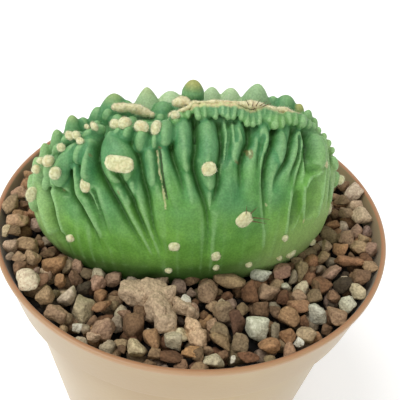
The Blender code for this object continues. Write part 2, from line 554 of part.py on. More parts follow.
def relief(around, up):
    """How far the skin stands out from the smooth body, in millimetres."""
    sunk, raised = np.zeros_like(around), np.zeros_like(around)
    for depth, width, points in CREASES + back_creases():
        path = smooth_path(points)
        for i in range(len(path) - 1):
            away, place = off_path(around, up, path, i)
            fade = np.clip((1 - place) / 0.45, 0, 1) ** 0.8
            sunk = np.maximum(sunk, depth * fade * np.exp(-away / width))
    for height, width, points in RIDGES:
        path = smooth_path(points)
        for i in range(len(path) - 1):
            away, place = off_path(around, up, path, i)
            ends = np.clip(np.minimum(place, 1 - place) / 0.12, 0.25, 1)
            raised = np.maximum(raised, height * ends * np.exp(-(away / width) ** 2))
    for place, height, half_width, half_height, lift in SWELLINGS:
        off = (around - place + GIRTH / 2) % GIRTH - GIRTH / 2
        inside = np.clip(1 - (off / half_width) ** 2 - ((up - height) / half_height) ** 2, 0, 1)
        raised = raised + lift * np.sqrt(inside)
    ends = np.clip(up / 8, 0, 1) * np.clip((FLANK - up) / 4, 0, 1)
    return (SKIN_LIFT + raised - sunk) * ends


def skin(around, up):
    """A point of the ribbed skin and its way out, in the plant frame."""
    step = 0.05
    here = flank(angle_of(around), up / FLANK)
    aside = flank(angle_of(around + step), up / FLANK) - flank(angle_of(around - step), up / FLANK)
    above = flank(angle_of(around), np.minimum(up + step, FLANK) / FLANK)
    above = above - flank(angle_of(around), np.maximum(up - step, 0) / FLANK)
    out = np.cross(aside, above)
    out /= np.maximum(np.linalg.norm(out, axis=-1, keepdims=True), 1e-9)
    spot = here + out * relief(around, up)[..., None]
    left = np.clip((-3 - spot[..., 0]) / 3.5, 0, 1) * np.clip((spot[..., 0] + 26) / 4, 0, 1)
    dip = np.clip((spot[..., 1] + 2.0 + 4.0 * left) / 2.5, 0, 1) * np.clip((spot[..., 2] - 12) / 12, 0, 1)
    spot[..., 2] -= CREST_DIP * dip * dip * (3 - 2 * dip)
    return spot, out


def to_world(point):
    """From the plant frame, in millimetres, to the part's frame, in metres."""
    x, y, z = (float(v) * MM for v in point)
    c, s = math.cos(PLANT_TURN), math.sin(PLANT_TURN)
    return Vector((PLANT_AT[0] + c * x - s * y, PLANT_AT[1] + s * x + c * y, PLANT_AT[2] + z))


def turn_to_world(way):
    """Turn a direction from the plant frame to the part's frame."""
    return Matrix.Rotation(PLANT_TURN, 3, "Z") @ Vector([float(v) for v in way])


def build_body():
    """The crested body with its ribs: a loft from the foot to the growing line, and a neck in the gravel."""
    half = GIRTH / 4
    front = np.linspace(-half, half, COLUMNS + 1)
    columns = np.concatenate([front, 2 * half - front[-2:0:-1]])
    heights = np.linspace(0, FLANK, ROWS + 1)
    around, up = np.meshgrid(columns, heights, indexing="ij")
    points, _ = skin(around, up)
    form = bmesh.new()
    grid = []
    for i in range(len(columns)):
        column = [form.verts.new(to_world(p)) for p in points[i, :-1]]
        mirror = (2 * COLUMNS - i) % (2 * COLUMNS)
        if i > COLUMNS:
            column.append(grid[mirror][-1])
        else:
            column.append(form.verts.new(to_world(points[i, -1])))
        grid.append(column)
    for i, column in enumerate(grid):
        after = grid[(i + 1) % len(grid)]
        for j in range(ROWS):
            corners = [column[j], after[j], after[j + 1], column[j + 1]]
            form.faces.new(dict.fromkeys(corners))
    foot = [column[0] for column in grid]
    middle = to_world((FOOT_SHIFT, 0, -NECK_DEPTH))
    neck = []
    for vert in foot:
        spot = middle.lerp(Vector((vert.co.x, vert.co.y, middle.z)), NECK_SCALE)
        neck.append(form.verts.new(spot))
    for i in range(len(foot)):
        j = (i + 1) % len(foot)
        form.faces.new((foot[j], foot[i], neck[i], neck[j]))
    form.faces.new(neck)
    return object_of("cactus", mesh_of("cactus", form))


def shaped_ball(name, place, fineness=2):
    """A ball with each of its points, given as a way from its middle, moved by a function."""
    form = bmesh.new()
    bmesh.ops.create_icosphere(form, subdivisions=fineness, radius=1)
    for vert in form.verts:
        vert.co = place(vert.co.normalized())
    return object_of(name, mesh_of(name, form))


def knob(name, centre, side, up, out, sizes, point=0.0, fineness=2):
    """An ellipsoid with its axes along side, up and out; point narrows its outer end."""
    frame = Matrix((side, up, out)).transposed()

    def place(way):
        slim = 1 - point * max(way.z, 0)
        return centre + frame @ Vector((way.x * sizes[0] * slim, way.y * sizes[1] * slim, way.z * sizes[2]))

    return shaped_ball(name, place, fineness)


def cone(name, tip, out, half_width, shoulder, sharpness):
    """A tall tubercle with its tip at a point: it widens down to its shoulder, and its root goes on below."""
    side = out.orthogonal().normalized()
    frame = Matrix((side, out.cross(side), out)).transposed()
    height = shoulder + TALL_ROOT

    def place(way):
        down = (1 - way.z) / 2 * height
        flat = Vector((way.x, way.y, 0)).normalized()
        reach = half_width * min(1, down / shoulder) ** sharpness * min(1, math.sqrt(max(height - down, 0)))
        return tip + frame @ (Vector((flat.x * reach, flat.y * reach, -down)) * MM)

    return shaped_ball(name, place, 3)


def finger(name, root, tip, root_radius, tip_radius):
    """A round-ended finger of skin between two points."""
    run = (tip - root).normalized()

    def place(way):
        if way.dot(run) > 0:
            return tip + way * tip_radius * MM
        return root + way * root_radius * MM

    return shaped_ball(name, place)


def skin_frame(around, up):
    """Point and axes on the skin in the part's frame."""
    spot, out = skin(np.array([float(around)]), np.array([float(up)]))
    out = turn_to_world(out[0]).normalized()
    side = Vector((0, 0, 1)).cross(out)
    side = side.normalized() if side.length > 1e-6 else Vector((1, 0, 0))
    return to_world(spot[0]), side, out.cross(side).normalized(), out


def smooth_frame(around, up):
    """As skin_frame, with the point where the skin would lie without creases and swellings."""
    spot, side, above, out = skin_frame(around, up)
    lift = relief(np.array([float(around)]), np.array([float(up)]))[0] - SKIN_LIFT
    return spot - out * lift * MM, side, above, out


def grow_tubercles():
    """Tubercles and fingers along both sides of the crest, and the tall ones behind the growing line."""
    made = []
    for i, (around, up, half_width, half_height, stand) in enumerate(TUBERCLES):
        spot, side, above, out = smooth_frame(around, up)
        sizes = (half_width * MM, half_height * MM, stand * MM)
        made.append(knob(f"tubercle_{i}", spot, side, above, out, sizes, KNOB_POINT))
    for i, (root, (around, up), stand, root_radius, tip_radius) in enumerate(FINGERS):
        spot, side, above, out = smooth_frame(around, up)
        tip = spot + out * (stand - tip_radius * 0.5) * MM
        made.append(finger(f"finger_{i}", to_world(root), tip, root_radius, tip_radius))
    for i, (x, y, tip, half_width, shoulder, sharpness) in enumerate(TALL_TUBERCLES):
        out = turn_to_world((TALL_SPREAD * x, *TALL_LEAN)).normalized()
        made.append(cone(f"tall_{i}", to_world((x, y, tip)), out, half_width, shoulder, sharpness))
    draw = random.Random(BACK_SEED + 1)
    half = GIRTH / 4
    for i in range(BACK_TUBERCLES):
        around = half + 2 * half * (i + 0.5 + draw.uniform(-0.2, 0.2)) / BACK_TUBERCLES
        spot, side, above, out = skin_frame(around, draw.uniform(43, 47))
        wide = draw.uniform(2.0, 3.0)
        sizes = (wide * MM, wide * 1.4 * MM, draw.uniform(2.4, 3.2) * MM)
        made.append(knob(f"back_{i}", spot, side, above, out, sizes, KNOB_POINT))
    return made


def grow_areoles():
    """Low woolly pads in the skin, and the wool caps of tubercles."""
    places = list(AREOLES)
    draw = random.Random(BACK_SEED + 2)
    half = GIRTH / 4
    for i in range(BACK_AREOLES):
        around = half + 2 * half * (i + 0.5) / BACK_AREOLES
        size = draw.uniform(1.2, 2.4)
        places.append((around, draw.uniform(8, 38), size, size * draw.uniform(0.8, 1.2), 0))
    made = []
    for i, (around, up, half_width, half_height, tilt) in enumerate(places):
        spot, side, above, out = skin_frame(around, up)
        turn = Matrix.Rotation(math.radians(tilt), 3, out)
        sizes = (half_width * MM, half_height * MM, PAD_HEIGHT * MM)
        made.append(knob(f"areole_{i}", spot, turn @ side, turn @ above, out, sizes))
    for i, (around, up, stand, half_width, half_height) in enumerate(CAPS):
        spot, side, above, out = smooth_frame(around, up)
        sizes = (half_width * MM, half_height * MM, 0.5 * (half_width + half_height) * MM)
        made.append(knob(f"cap_{i}", spot + out * (stand - CAP_SINK) * MM, side, above, out, sizes))
    return made


def spine(name, root, way, length, extra=0.0):
    """A three-sided spine whose foot is sunk below its root; extra widens it to cut its seat."""
    form = bmesh.new()
    bmesh.ops.create_cone(form, cap_ends=True, segments=3, radius1=SPINE_RADIUS * MM + 2 * extra,
                          radius2=SPINE_TIP_RADIUS * MM + 2 * extra,
                          depth=(length + SPINE_ROOT) * MM + 2 * extra)
    made = object_of(name, mesh_of(name, form))
    made.rotation_mode = "QUATERNION"
    made.rotation_quaternion = way.to_track_quat("Z", "Y")
    made.location = root + way * (length - SPINE_ROOT) * 0.5 * MM
    return made


def grow_spines():
    """Short spines, rooted in their areoles."""
    made = []
    for i, (around, up, length, aside, raised) in enumerate(SPINES):
        root, side, above, out = skin_frame(around, up)
        way = Matrix.Rotation(math.radians(aside), 3, above) @ out
        way = Matrix.Rotation(-math.radians(raised), 3, side) @ way
        made.append(spine(f"spine_{i}", root, way, length))
    return made


def grow_wool_spines(extra):
    """Short spines that stand in the wool of the crest; extra widens them to cut their seat."""
    made = []
    for i, (spot, length, aside, forward) in enumerate(WOOL_SPINES):
        root = to_world(spot)
        lean = Matrix.Rotation(math.radians(forward), 3, "X") @ Vector((0, 0, 1))
        way = turn_to_world(Matrix.Rotation(math.radians(aside), 3, "Y") @ lean)
        made.append(spine(f"wool_spine_{i}", root, way, length, extra))
    return made


def wool_tube(name, points, extra):
    """One line of wool as a tube; extra widens it to cut its seat."""
    line = smooth_path(points, 2)
    curve = bpy.data.curves.new(name, "CURVE")
    curve.dimensions = "3D"
    curve.bevel_depth = MM
    curve.bevel_resolution = 2
    curve.use_fill_caps = True
    spline = curve.splines.new("POLY")
    spline.points.add(len(line) - 1)
    for point, (x, y, z, thick) in zip(spline.points, line):
        point.co = (*to_world((x, y, z)), 1)
        point.radius = float(thick) + extra / MM
    drawn = object_of(name + "_curve", curve)
    bpy.context.view_layer.update()
    graph = bpy.context.evaluated_depsgraph_get()
    mesh = bpy.data.meshes.new_from_object(drawn.evaluated_get(graph))
    bpy.data.objects.remove(drawn, do_unlink=True)
    form = bmesh.new()
    form.from_mesh(mesh)
    bmesh.ops.remove_doubles(form, verts=form.verts, dist=0.00001)
    return object_of(name, mesh_of(name, form))


def wool_body(name, extra):
    """The growing line's wool with its branch and its spines fused to it."""
    made = wool_tube(name, WOOL_LINES[0], extra)
    branches = [wool_tube(f"{name}_{i}", line, extra) for i, line in enumerate(WOOL_LINES[1:])]
    join_repeats(made, branches + grow_wool_spines(extra))
    keep_largest_body(made)
    return made


def build_cactus():
    """Body, tubercles, areoles and spines as one grown piece, with a seat for the wool."""
    cactus = build_body()
    join_repeats(cactus, grow_tubercles() + grow_areoles())
    even_out(cactus, EVEN_FACE, BODY_FACES)
    join_repeats(cactus, grow_spines())
    seat = wool_body("wool_seat", GAP)
    boolean(cactus, "DIFFERENCE", other=seat)
    bpy.data.objects.remove(seat, do_unlink=True)
    keep_largest_body(cactus)
    cactus.data.materials.clear()
    cactus.data.materials.append(plain_material("cactus_skin", (0.10, 0.30, 0.12), 0.5))
    return cactus


def build_wool():
    """The cream wool of the growing line."""
    wool = wool_body("crest_wool", 0)
    wool.data.materials.clear()
    wool.data.materials.append(plain_material("wool", (0.72, 0.58, 0.38), 0.9))
    return wool


def stone(name, lobes, seed, extra=0.0):
    """A worn angular stone of fused lobes, each a ball pulled about by smooth seeded bumps."""
    draw = random.Random(seed)
    pieces = []
    for place, halves, turn in lobes:
        form = bmesh.new()
        bmesh.ops.create_icosphere(form, subdivisions=3, radius=1)
        bumps = [(Vector([draw.gauss(0, 1) for _ in range(3)]).normalized(), draw.uniform(-0.22, 0.22))
                 for _ in range(12)]
        spin = Matrix.Rotation(math.radians(turn), 3, "Z")
        for vert in form.verts:
            way = vert.co.normalized()
            reach = 1.0 + sum(size * math.exp(-6 * (way - at).length_squared) for at, size in bumps)
            local = Vector([way[k] * (halves[k] * reach + extra) for k in range(3)])
            vert.co = spin @ local + Vector(place)
        pieces.append(object_of(name, mesh_of(name, form)))
    join_repeats(pieces[0], pieces[1:])
    return pieces[0]


def build_stone(name, lobes, seed, colour):
    """One loose stone of the top dressing."""
    made = stone(name, lobes, seed)
    thin = made.modifiers.new("thin", "DECIMATE")
    thin.ratio = STONE_THINNING
    apply_modifiers(made)
    made.data.materials.clear()
    made.data.materials.append(plain_material(name + "_rock", colour, 0.9))
    return made


def socket_for_plant():
    """Plain hole in the gravel: the smooth lower body and its neck, a little wider."""
    form = bmesh.new()
    rings = []
    middle = to_world((FOOT_SHIFT, 0, -NECK_DEPTH))
    turns = np.linspace(-math.pi, math.pi, 61)[:-1]
    room = 1.6 * MM
    for rise in (0.0, 0.08, 0.16, 0.24):
        ring = []
        for angle in turns:
            spot = to_world(flank(angle, rise))
            away = Vector((spot.x - middle.x, spot.y - middle.y, 0)).normalized()
            ring.append(form.verts.new(spot + away * room))
        rings.append(ring)
    low = []
    for vert in rings[0]:
        spot = middle.lerp(Vector((vert.co.x, vert.co.y, middle.z)), NECK_SCALE)
        away = Vector((spot.x - middle.x, spot.y - middle.y, 0)).normalized()
        low.append(form.verts.new(spot + away * 0.6 * MM - Vector((0, 0, 2 * GAP))))
    rings.insert(0, low)
    for below, above in zip(rings, rings[1:]):
        for i in range(len(turns)):
            j = (i + 1) % len(turns)
            form.faces.new((below[i], below[j], above[j], above[i]))
    form.faces.new(rings[0][::-1])
    form.faces.new(rings[-1])
    return hide_cutter(object_of("plant_socket", mesh_of("plant_socket", form), CUTTERS))


def in_plant(x, y, room):
    """Whether a point of the gravel's top lies under the plant, or within room of its foot."""
    c, s = math.cos(PLANT_TURN), math.sin(PLANT_TURN)
    dx, dy = x - PLANT_AT[0], y - PLANT_AT[1]
    along = (c * dx + s * dy) / MM - FOOT_SHIFT
    across = (-s * dx + c * dy) / MM
    long_axis = FOOT_HALF_LENGTH + room / MM
    short_axis = FOOT_HALF_THICKNESS + room / MM
    return (along / long_axis) ** 2 + (across / short_axis) ** 2 < 1


def in_stone(x, y, room):
    """Whether a point lies on one of the loose stones, or within room of it."""
    for place, halves, turn in PUMICE_LOBES + TAN_LOBES:
        angle = math.radians(turn)
        dx, dy = x - place[0], y - place[1]
        along = math.cos(angle) * dx + math.sin(angle) * dy
        across = -math.sin(angle) * dx + math.cos(angle) * dy
        if (along / (halves[0] + room)) ** 2 + (across / (halves[1] + room)) ** 2 < 1:
            return True
    return False


def grain_places():
    """Middle and radius of each grain, on a shaken triangular grid."""
    draw = random.Random(GRAIN_SEED)
    reach = wall_radius(GRAVEL_LEVEL, WALL)
    row_pace = GRAIN_PITCH * math.sqrt(3) / 2
    count = int(reach / row_pace) + 1
    places = []
    for j in range(-count, count + 1):
        for i in range(-count - 1, count + 2):
            x = GRAIN_PITCH * (i + 0.5 * (j % 2)) + draw.uniform(-0.0009, 0.0009)
            y = row_pace * j + draw.uniform(-0.0009, 0.0009)
            z = BULK_TOP + draw.uniform(-0.0002, 0.0012)
            radius = draw.uniform(*GRAIN_RADII)
            if math.hypot(x, y) + 1.18 * radius + GAP > reach:
                continue
            if in_plant(x, y, 0.0012) or in_stone(x, y, 0.0016):
                continue
            places.append(((x, y, z), radius))
    return places


def build_gravel():
    """The fill of the pot, with its top grains fused to it and sockets for what stands in it."""
    step = POT_HEIGHT - COLLAR_HEIGHT
    room = WALL + GAP
    profile = [
        (0, BULK_TOP),
        (wall_radius(BULK_TOP, room), BULK_TOP),
        (wall_radius(step + WALL, room), step + LEDGE_RISE + 2 * GAP),
        (wall_radius(step - WALL, room), step + GAP),
        (wall_radius(FLOOR_LIFT + room, room), FLOOR_LIFT + room),
        (0, FLOOR_LIFT + room),
    ]
    bed = turned("gravel_bed", profile, POT_SIDES)
    apply_modifiers(bed)
    draw = random.Random(GRAIN_SEED + 1)
    grains = []
    for i, (place, radius) in enumerate(grain_places()):
        form = bmesh.new()
        bmesh.ops.create_cube(form, size=1.25 * radius)
        for vert in form.verts:
            vert.co *= draw.uniform(0.8, 1.2)
        bmesh.ops.triangulate(form, faces=form.faces)
        stretch = Matrix.Diagonal((draw.uniform(0.85, 1.15), draw.uniform(0.85, 1.15),
                                   draw.uniform(0.7, 0.95)))
        spin = Matrix.Rotation(draw.uniform(0, math.tau), 3, "Z")
        tumble = Matrix.Rotation(draw.uniform(-0.9, 0.9), 3, "X")
        bmesh.ops.transform(form, matrix=(spin @ tumble @ stretch).to_4x4(), verts=form.verts)
        grain = object_of(f"grain_{i}", mesh_of("grain", form))
        grain.location = place
        grains.append(grain)
    join_repeats(bed, grains)
    boolean(bed, "DIFFERENCE", other=socket_for_plant())
    for name, lobes, seed in (("pumice_seat", PUMICE_LOBES, PUMICE_SEED), ("tan_seat", TAN_LOBES, TAN_SEED)):
        seat = hide_cutter(stone(name, lobes, seed, 1.5 * GAP))
        boolean(bed, "DIFFERENCE", other=seat)
        PARTS.objects.unlink(seat)
        CUTTERS.objects.link(seat)
    keep_largest_body(bed)
    bed.data.materials.clear()
    bed.data.materials.append(plain_material("gravel_rock", (0.30, 0.19, 0.12), 0.9))
    return bed


build_pot()
build_gravel()
build_stone("pumice_chunk", PUMICE_LOBES, PUMICE_SEED, (0.45, 0.33, 0.24))
build_stone("tan_stone", TAN_LOBES, TAN_SEED, (0.50, 0.38, 0.26))
build_cactus()
build_wool()
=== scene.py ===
"""Looks of the crested lobivia in its pot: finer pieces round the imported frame, materials and studio."""
import math
import random

import bmesh
import bpy
import numpy as np
from mathutils import Matrix, Vector, kdtree


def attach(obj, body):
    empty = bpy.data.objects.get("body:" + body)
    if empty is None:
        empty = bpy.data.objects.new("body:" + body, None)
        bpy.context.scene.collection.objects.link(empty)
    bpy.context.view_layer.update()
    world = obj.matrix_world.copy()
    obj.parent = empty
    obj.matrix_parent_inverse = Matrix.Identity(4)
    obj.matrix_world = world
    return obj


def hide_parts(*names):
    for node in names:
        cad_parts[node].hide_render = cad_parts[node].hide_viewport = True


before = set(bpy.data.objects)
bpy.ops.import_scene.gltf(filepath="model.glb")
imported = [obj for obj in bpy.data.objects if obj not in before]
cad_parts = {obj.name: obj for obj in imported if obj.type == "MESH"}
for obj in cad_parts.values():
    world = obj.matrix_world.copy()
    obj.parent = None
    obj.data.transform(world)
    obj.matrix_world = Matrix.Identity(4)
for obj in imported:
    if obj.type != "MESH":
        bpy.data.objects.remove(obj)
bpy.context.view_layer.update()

MM = 0.001

# Camera, fitted to the photograph: focal length in pixels of a 400 pixel frame, distance, angles in degrees
FOCAL_PIXELS, FRAME_PIXELS = 551.0, 400.0
CAMERA_REACH, CAMERA_RISE = 0.174, 40.8
CAMERA_YAW, CAMERA_PITCH, CAMERA_ROLL = 0.62, 0.60, 5.40
SENSOR = 36.0

# Pot, in metres, as in the part
POT_HEIGHT = 0.105
LIP_RADIUS = 0.060
LIP_HEIGHT = 0.0012
LIP_FLANGE = 0.0002
COLLAR_HEIGHT = 0.0167
COLLAR_FOOT_RADIUS = 0.0570
BODY_TOP_RADIUS = 0.0542
BODY_FOOT_RADIUS = 0.0439
WALL = 0.00125
LEDGE_RISE = 0.0015
FOOT_RING_WIDTH = 0.0030
FLOOR_LIFT = 0.0030
HOLE_COUNT = 8
HOLE_RADIUS = 0.0035
HOLE_RING_RADIUS = 0.0330
POT_STEPS = 180

# Gravel, in metres
GRAVEL_LEVEL = 0.0990
BULK_TOP = GRAVEL_LEVEL - 0.0038

# Tints of the stones
TINTS = {
    "white": (198, 194, 174), "cream": (190, 177, 149), "beige": (176, 157, 129), "tan": (153, 129, 100),
    "pink": (152, 125, 102), "greypink": (140, 120, 103), "orange": (152, 118, 86), "brown": (120, 96, 72),
    "red": (108, 80, 58), "grey": (140, 126, 106), "olive": (130, 113, 86), "dark": (70, 61, 49),
}
FILL_TINTS = ["tan", "tan", "brown", "brown", "brown", "red", "red", "orange", "orange", "pink", "greypink",
              "grey", "olive", "olive", "dark", "beige", "brown", "tan", "cream"]

# Stones that show, in millimetres: tint, middle, half width, half height, turn in degrees
KEY_STONES = [
    ("beige", -52.6, -19.8, 2.0, 2.0, 0), ("tan", -47.7, -18.4, 3.2, 2.2, 0),
    ("cream", -43.8, -31.5, 3.2, 2.9, 0), ("orange", -38.2, -26.2, 3.4, 2.8, 0),
    ("beige", -34.2, -25.9, 1.3, 2.1, -10), ("pink", -31.5, -25.2, 1.7, 1.9, -20),
    ("brown", -31.1, -29.7, 1.5, 2.4, 25), ("orange", -35.0, -31.4, 1.5, 1.9, 0),
    ("greypink", -46.6, -10.0, 2.5, 2.1, 0), ("tan", -53.6, -9.3, 3.1, 2.2, 15),
    ("tan", -59.1, -1.6, 2.7, 2.2, 40), ("tan", -56.9, 4.5, 2.6, 2.0, 20),
    ("orange", -49.5, -5.3, 1.9, 1.9, 0), ("beige", -56.3, -13.9, 1.2, 1.8, 0),
    ("brown", -53.0, -13.2, 1.8, 1.5, 0), ("grey", -42.2, -16.5, 1.5, 1.6, 0),
    ("brown", -41.2, -21.2, 2.2, 1.2, 15), ("tan", -48.4, -23.4, 1.9, 1.4, 0),
    ("grey", -51.2, -24.1, 1.1, 1.1, 0), ("tan", -44.9, -23.6, 2.3, 1.7, -20),
    ("brown", -47.6, -27.6, 1.8, 1.7, 0), ("brown", -39.9, -31.4, 1.7, 1.8, 0),
    ("tan", -37.7, -37.2, 2.4, 2.3, 35), ("cream", -31.7, -37.1, 2.6, 2.3, 25),
    ("beige", -27.0, -40.9, 2.8, 3.3, -15), ("pink", -33.4, -42.5, 2.9, 1.8, -20),
    ("olive", -30.1, -44.1, 1.3, 1.8, 0), ("white", -26.9, -46.5, 1.3, 1.2, 0),
    ("grey", -24.9, -46.9, 1.2, 1.2, 0), ("tan", -20.1, -46.1, 2.8, 3.1, -35),
    ("beige", -22.3, -48.8, 2.0, 1.3, 0), ("orange", -22.2, -38.8, 2.5, 1.3, 10),
    ("dark", -28.1, -33.6, 1.9, 1.9, 0), ("pink", -24.6, -31.2, 2.2, 2.1, 0),
    ("pink", -20.8, -29.0, 2.2, 2.2, 0), ("brown", -14.8, -51.6, 1.0, 1.0, 0),
    ("tan", 5.8, -31.0, 2.8, 3.1, -30), ("white", 6.1, -25.2, 1.1, 0.9, 0),
    ("tan", 12.0, -25.9, 4.7, 2.3, -5), ("red", 17.4, -29.7, 2.2, 3.2, 15),
    ("white", 21.0, -23.2, 2.9, 1.7, -5), ("pink", 22.7, -29.2, 2.5, 2.8, -30),
    ("pink", 27.3, -20.8, 2.6, 2.2, 0), ("grey", 30.7, -22.9, 1.2, 2.2, -25),
    ("olive", 33.4, -19.8, 1.9, 3.2, 10), ("brown", 38.0, -25.9, 2.4, 2.3, 0),
    ("white", 28.3, -26.7, 1.4, 1.1, -20), ("red", 27.3, -30.6, 1.7, 2.2, -10),
    ("tan", 31.5, -29.9, 2.0, 2.0, 0), ("orange", 31.4, -33.3, 3.2, 1.7, 15),
    ("olive", 35.9, -29.6, 2.2, 2.1, 0), ("white", 36.1, -35.9, 2.3, 2.9, 10),
    ("orange", 28.2, -37.5, 2.8, 2.6, -30), ("pink", 10.7, -37.4, 3.1, 2.8, 0),
    ("red", 14.4, -39.9, 2.0, 3.2, 15), ("brown", 20.8, -35.2, 2.2, 2.2, 0),
    ("brown", 24.3, -36.0, 1.5, 1.6, 0), ("white", 19.2, -42.2, 2.9, 3.4, 0),
    ("grey", 24.2, -42.2, 1.3, 2.1, 0), ("orange", 27.5, -43.3, 2.2, 2.0, 0),
    ("beige", 32.1, -42.5, 2.4, 2.2, -25), ("white", 30.2, -45.7, 1.0, 1.2, -30),
    ("orange", 22.5, -47.2, 2.9, 1.9, 0), ("olive", 9.9, -43.9, 2.5, 1.7, -20),
    ("tan", 10.2, -46.5, 3.1, 1.4, -30), ("olive", 15.0, -46.6, 2.1, 2.4, -10),
    ("red", 16.9, -51.0, 2.8, 1.4, 0), ("cream", 8.3, -52.8, 2.7, 1.6, 0),
    ("white", 13.0, -52.2, 0.6, 1.0, 0), ("brown", 4.2, -51.3, 1.5, 1.8, 0),
    ("red", 32.3, -38.2, 1.3, 1.6, 0), ("cream", 57.0, 19.5, 2.3, 3.5, -30),
    ("beige", 56.0, 7.6, 3.3, 2.8, 0), ("olive", 50.7, 14.4, 2.6, 1.7, 0),
    ("brown", 51.9, 22.4, 2.1, 1.8, 0), ("tan", 51.1, 8.3, 2.3, 1.7, 0),
    ("orange", 45.6, 1.9, 2.4, 1.5, 0), ("pink", 48.7, -4.5, 2.4, 2.5, 0),
    ("tan", 52.3, -7.5, 2.2, 1.9, -10), ("pink", 56.2, -8.4, 2.2, 2.2, 0),
    ("orange", 46.2, -9.9, 1.9, 2.2, 0), ("orange", 48.3, -14.7, 3.9, 1.5, -5),
    ("beige", 41.8, -9.1, 1.5, 1.7, -30), ("tan", 40.0, -14.0, 1.2, 2.4, -35),
    ("brown", 50.7, -21.2, 2.6, 2.5, 0), ("tan", 54.8, -16.6, 2.1, 1.8, 0),
    ("dark", 44.8, -24.4, 2.6, 2.4, 0), ("beige", 48.7, -25.9, 2.0, 2.1, 0),
    ("white", 45.0, -31.3, 2.2, 2.5, 20), ("red", 38.6, -25.1, 2.9, 2.4, 0),
    ("brown", 41.6, -28.6, 1.8, 1.7, 0), ("pink", 41.7, -35.6, 2.5, 2.2, 0),
    ("pink", 42.0, -20.0, 1.3, 3.2, -35), ("beige", -7.2, -27.6, 2.0, 1.7, 0),
    ("greypink", -2.3, -30.2, 2.2, 2.2, 0), ("white", -0.2, -35.7, 1.8, 2.0, -20),
    ("pink", 2.6, -37.1, 1.3, 1.5, 0), ("cream", -2.4, -48.0, 2.3, 2.5, 0),
    ("orange", -7.8, -47.7, 2.2, 2.3, 0), ("beige", -11.4, -51.4, 2.0, 2.6, 35),
    ("brown", -13.0, -44.0, 2.7, 3.2, 0), ("orange", 2.4, -50.7, 2.3, 1.6, 0),
    ("brown", 1.4, -26.9, 2.6, 1.7, 0), ("red", -2.4, -52.5, 3.0, 1.1, 0),
    ("tan", -6.6, -52.1, 1.5, 1.5, 0), ("brown", -11.7, -40.0, 1.9, 1.9, 0),
]
KEY_HEIGHT = 100.4

# How far the gravel is heaped up against the wall at the left, at the right and at the back, in millimetres
BANK_LEFT = 4.4
BANK_RIGHT = 3.0
BANK_BACK = 3.0

# Layers of seeded stones, in millimetres: height over the gravel's level, smallest and largest half width,
# how close two may lie, and how often a place is tried
GRAVEL_LAYERS = [(-0.4, 1.7, 3.0, 0.86, 6000), (-0.6, 1.2, 1.7, 0.84, 5000), (-3.0, 2.2, 3.2, 0.95, 3000)]
GRAVEL_SPREAD = 57
GRAVEL_SEED = 31

# Pumice and the long tan stone, in metres: each is a few fused lobes, given by their middle, half sizes and
# turn in degrees
PUMICE_LOBES = [
    ((-0.0148, -0.0337, 0.1014), (0.0034, 0.0036, 0.0029), 0),
    ((-0.0164, -0.0323, 0.1020), (0.0017, 0.0017, 0.0018), 0),
    ((-0.0110, -0.0356, 0.1016), (0.0034, 0.0028, 0.0030), -30),
    ((-0.0090, -0.0341, 0.1018), (0.0040, 0.0032, 0.0033), -10),
    ((-0.0056, -0.0348, 0.1018), (0.0028, 0.0028, 0.0028), 0),
    ((-0.0067, -0.0390, 0.1018), (0.0042, 0.0036, 0.0035), -25),
    ((-0.0047, -0.0426, 0.1012), (0.0030, 0.0034, 0.0031), 10),
    ((-0.0010, -0.0368, 0.1010), (0.0030, 0.0020, 0.0023), -25),
    ((0.0018, -0.0382, 0.1006), (0.0021, 0.0018, 0.0021), -50),
]
TAN_LOBES = [
    ((0.0023, -0.0428, 0.1002), (0.0019, 0.0024, 0.0024), 0),
    ((0.0032, -0.0447, 0.1000), (0.0022, 0.0027, 0.0025), 8),
    ((0.0041, -0.0464, 0.0998), (0.0025, 0.0028, 0.0025), 12),
]
PUMICE_SEED = 3
TAN_SEED = 8

# Plant frame: where its middle stands on the gravel, and how its crest is turned
PLANT_AT = (-0.0040, -0.0040, GRAVEL_LEVEL)
PLANT_TURN = math.radians(10)

# Plant body, in millimetres: half length, half thickness and shift along the crest
FOOT_HALF_LENGTH, FOOT_HALF_THICKNESS, FOOT_SHIFT = 41.5, 23.0, 2.8
BELLY_HALF_LENGTH, BELLY_HALF_THICKNESS, BELLY_SHIFT = 44.2, 25.4, 1.8
CREST_LEFT, CREST_RIGHT = 41.6, 45.8
CREST_TOP, CREST_LEFT_END, CREST_RIGHT_END = 43.0, 15.0, 17.0
FOOT_LEVEL = -1.0
FLANK = 54.0
NECK_DEPTH = 6.0
NECK_SCALE = 0.72

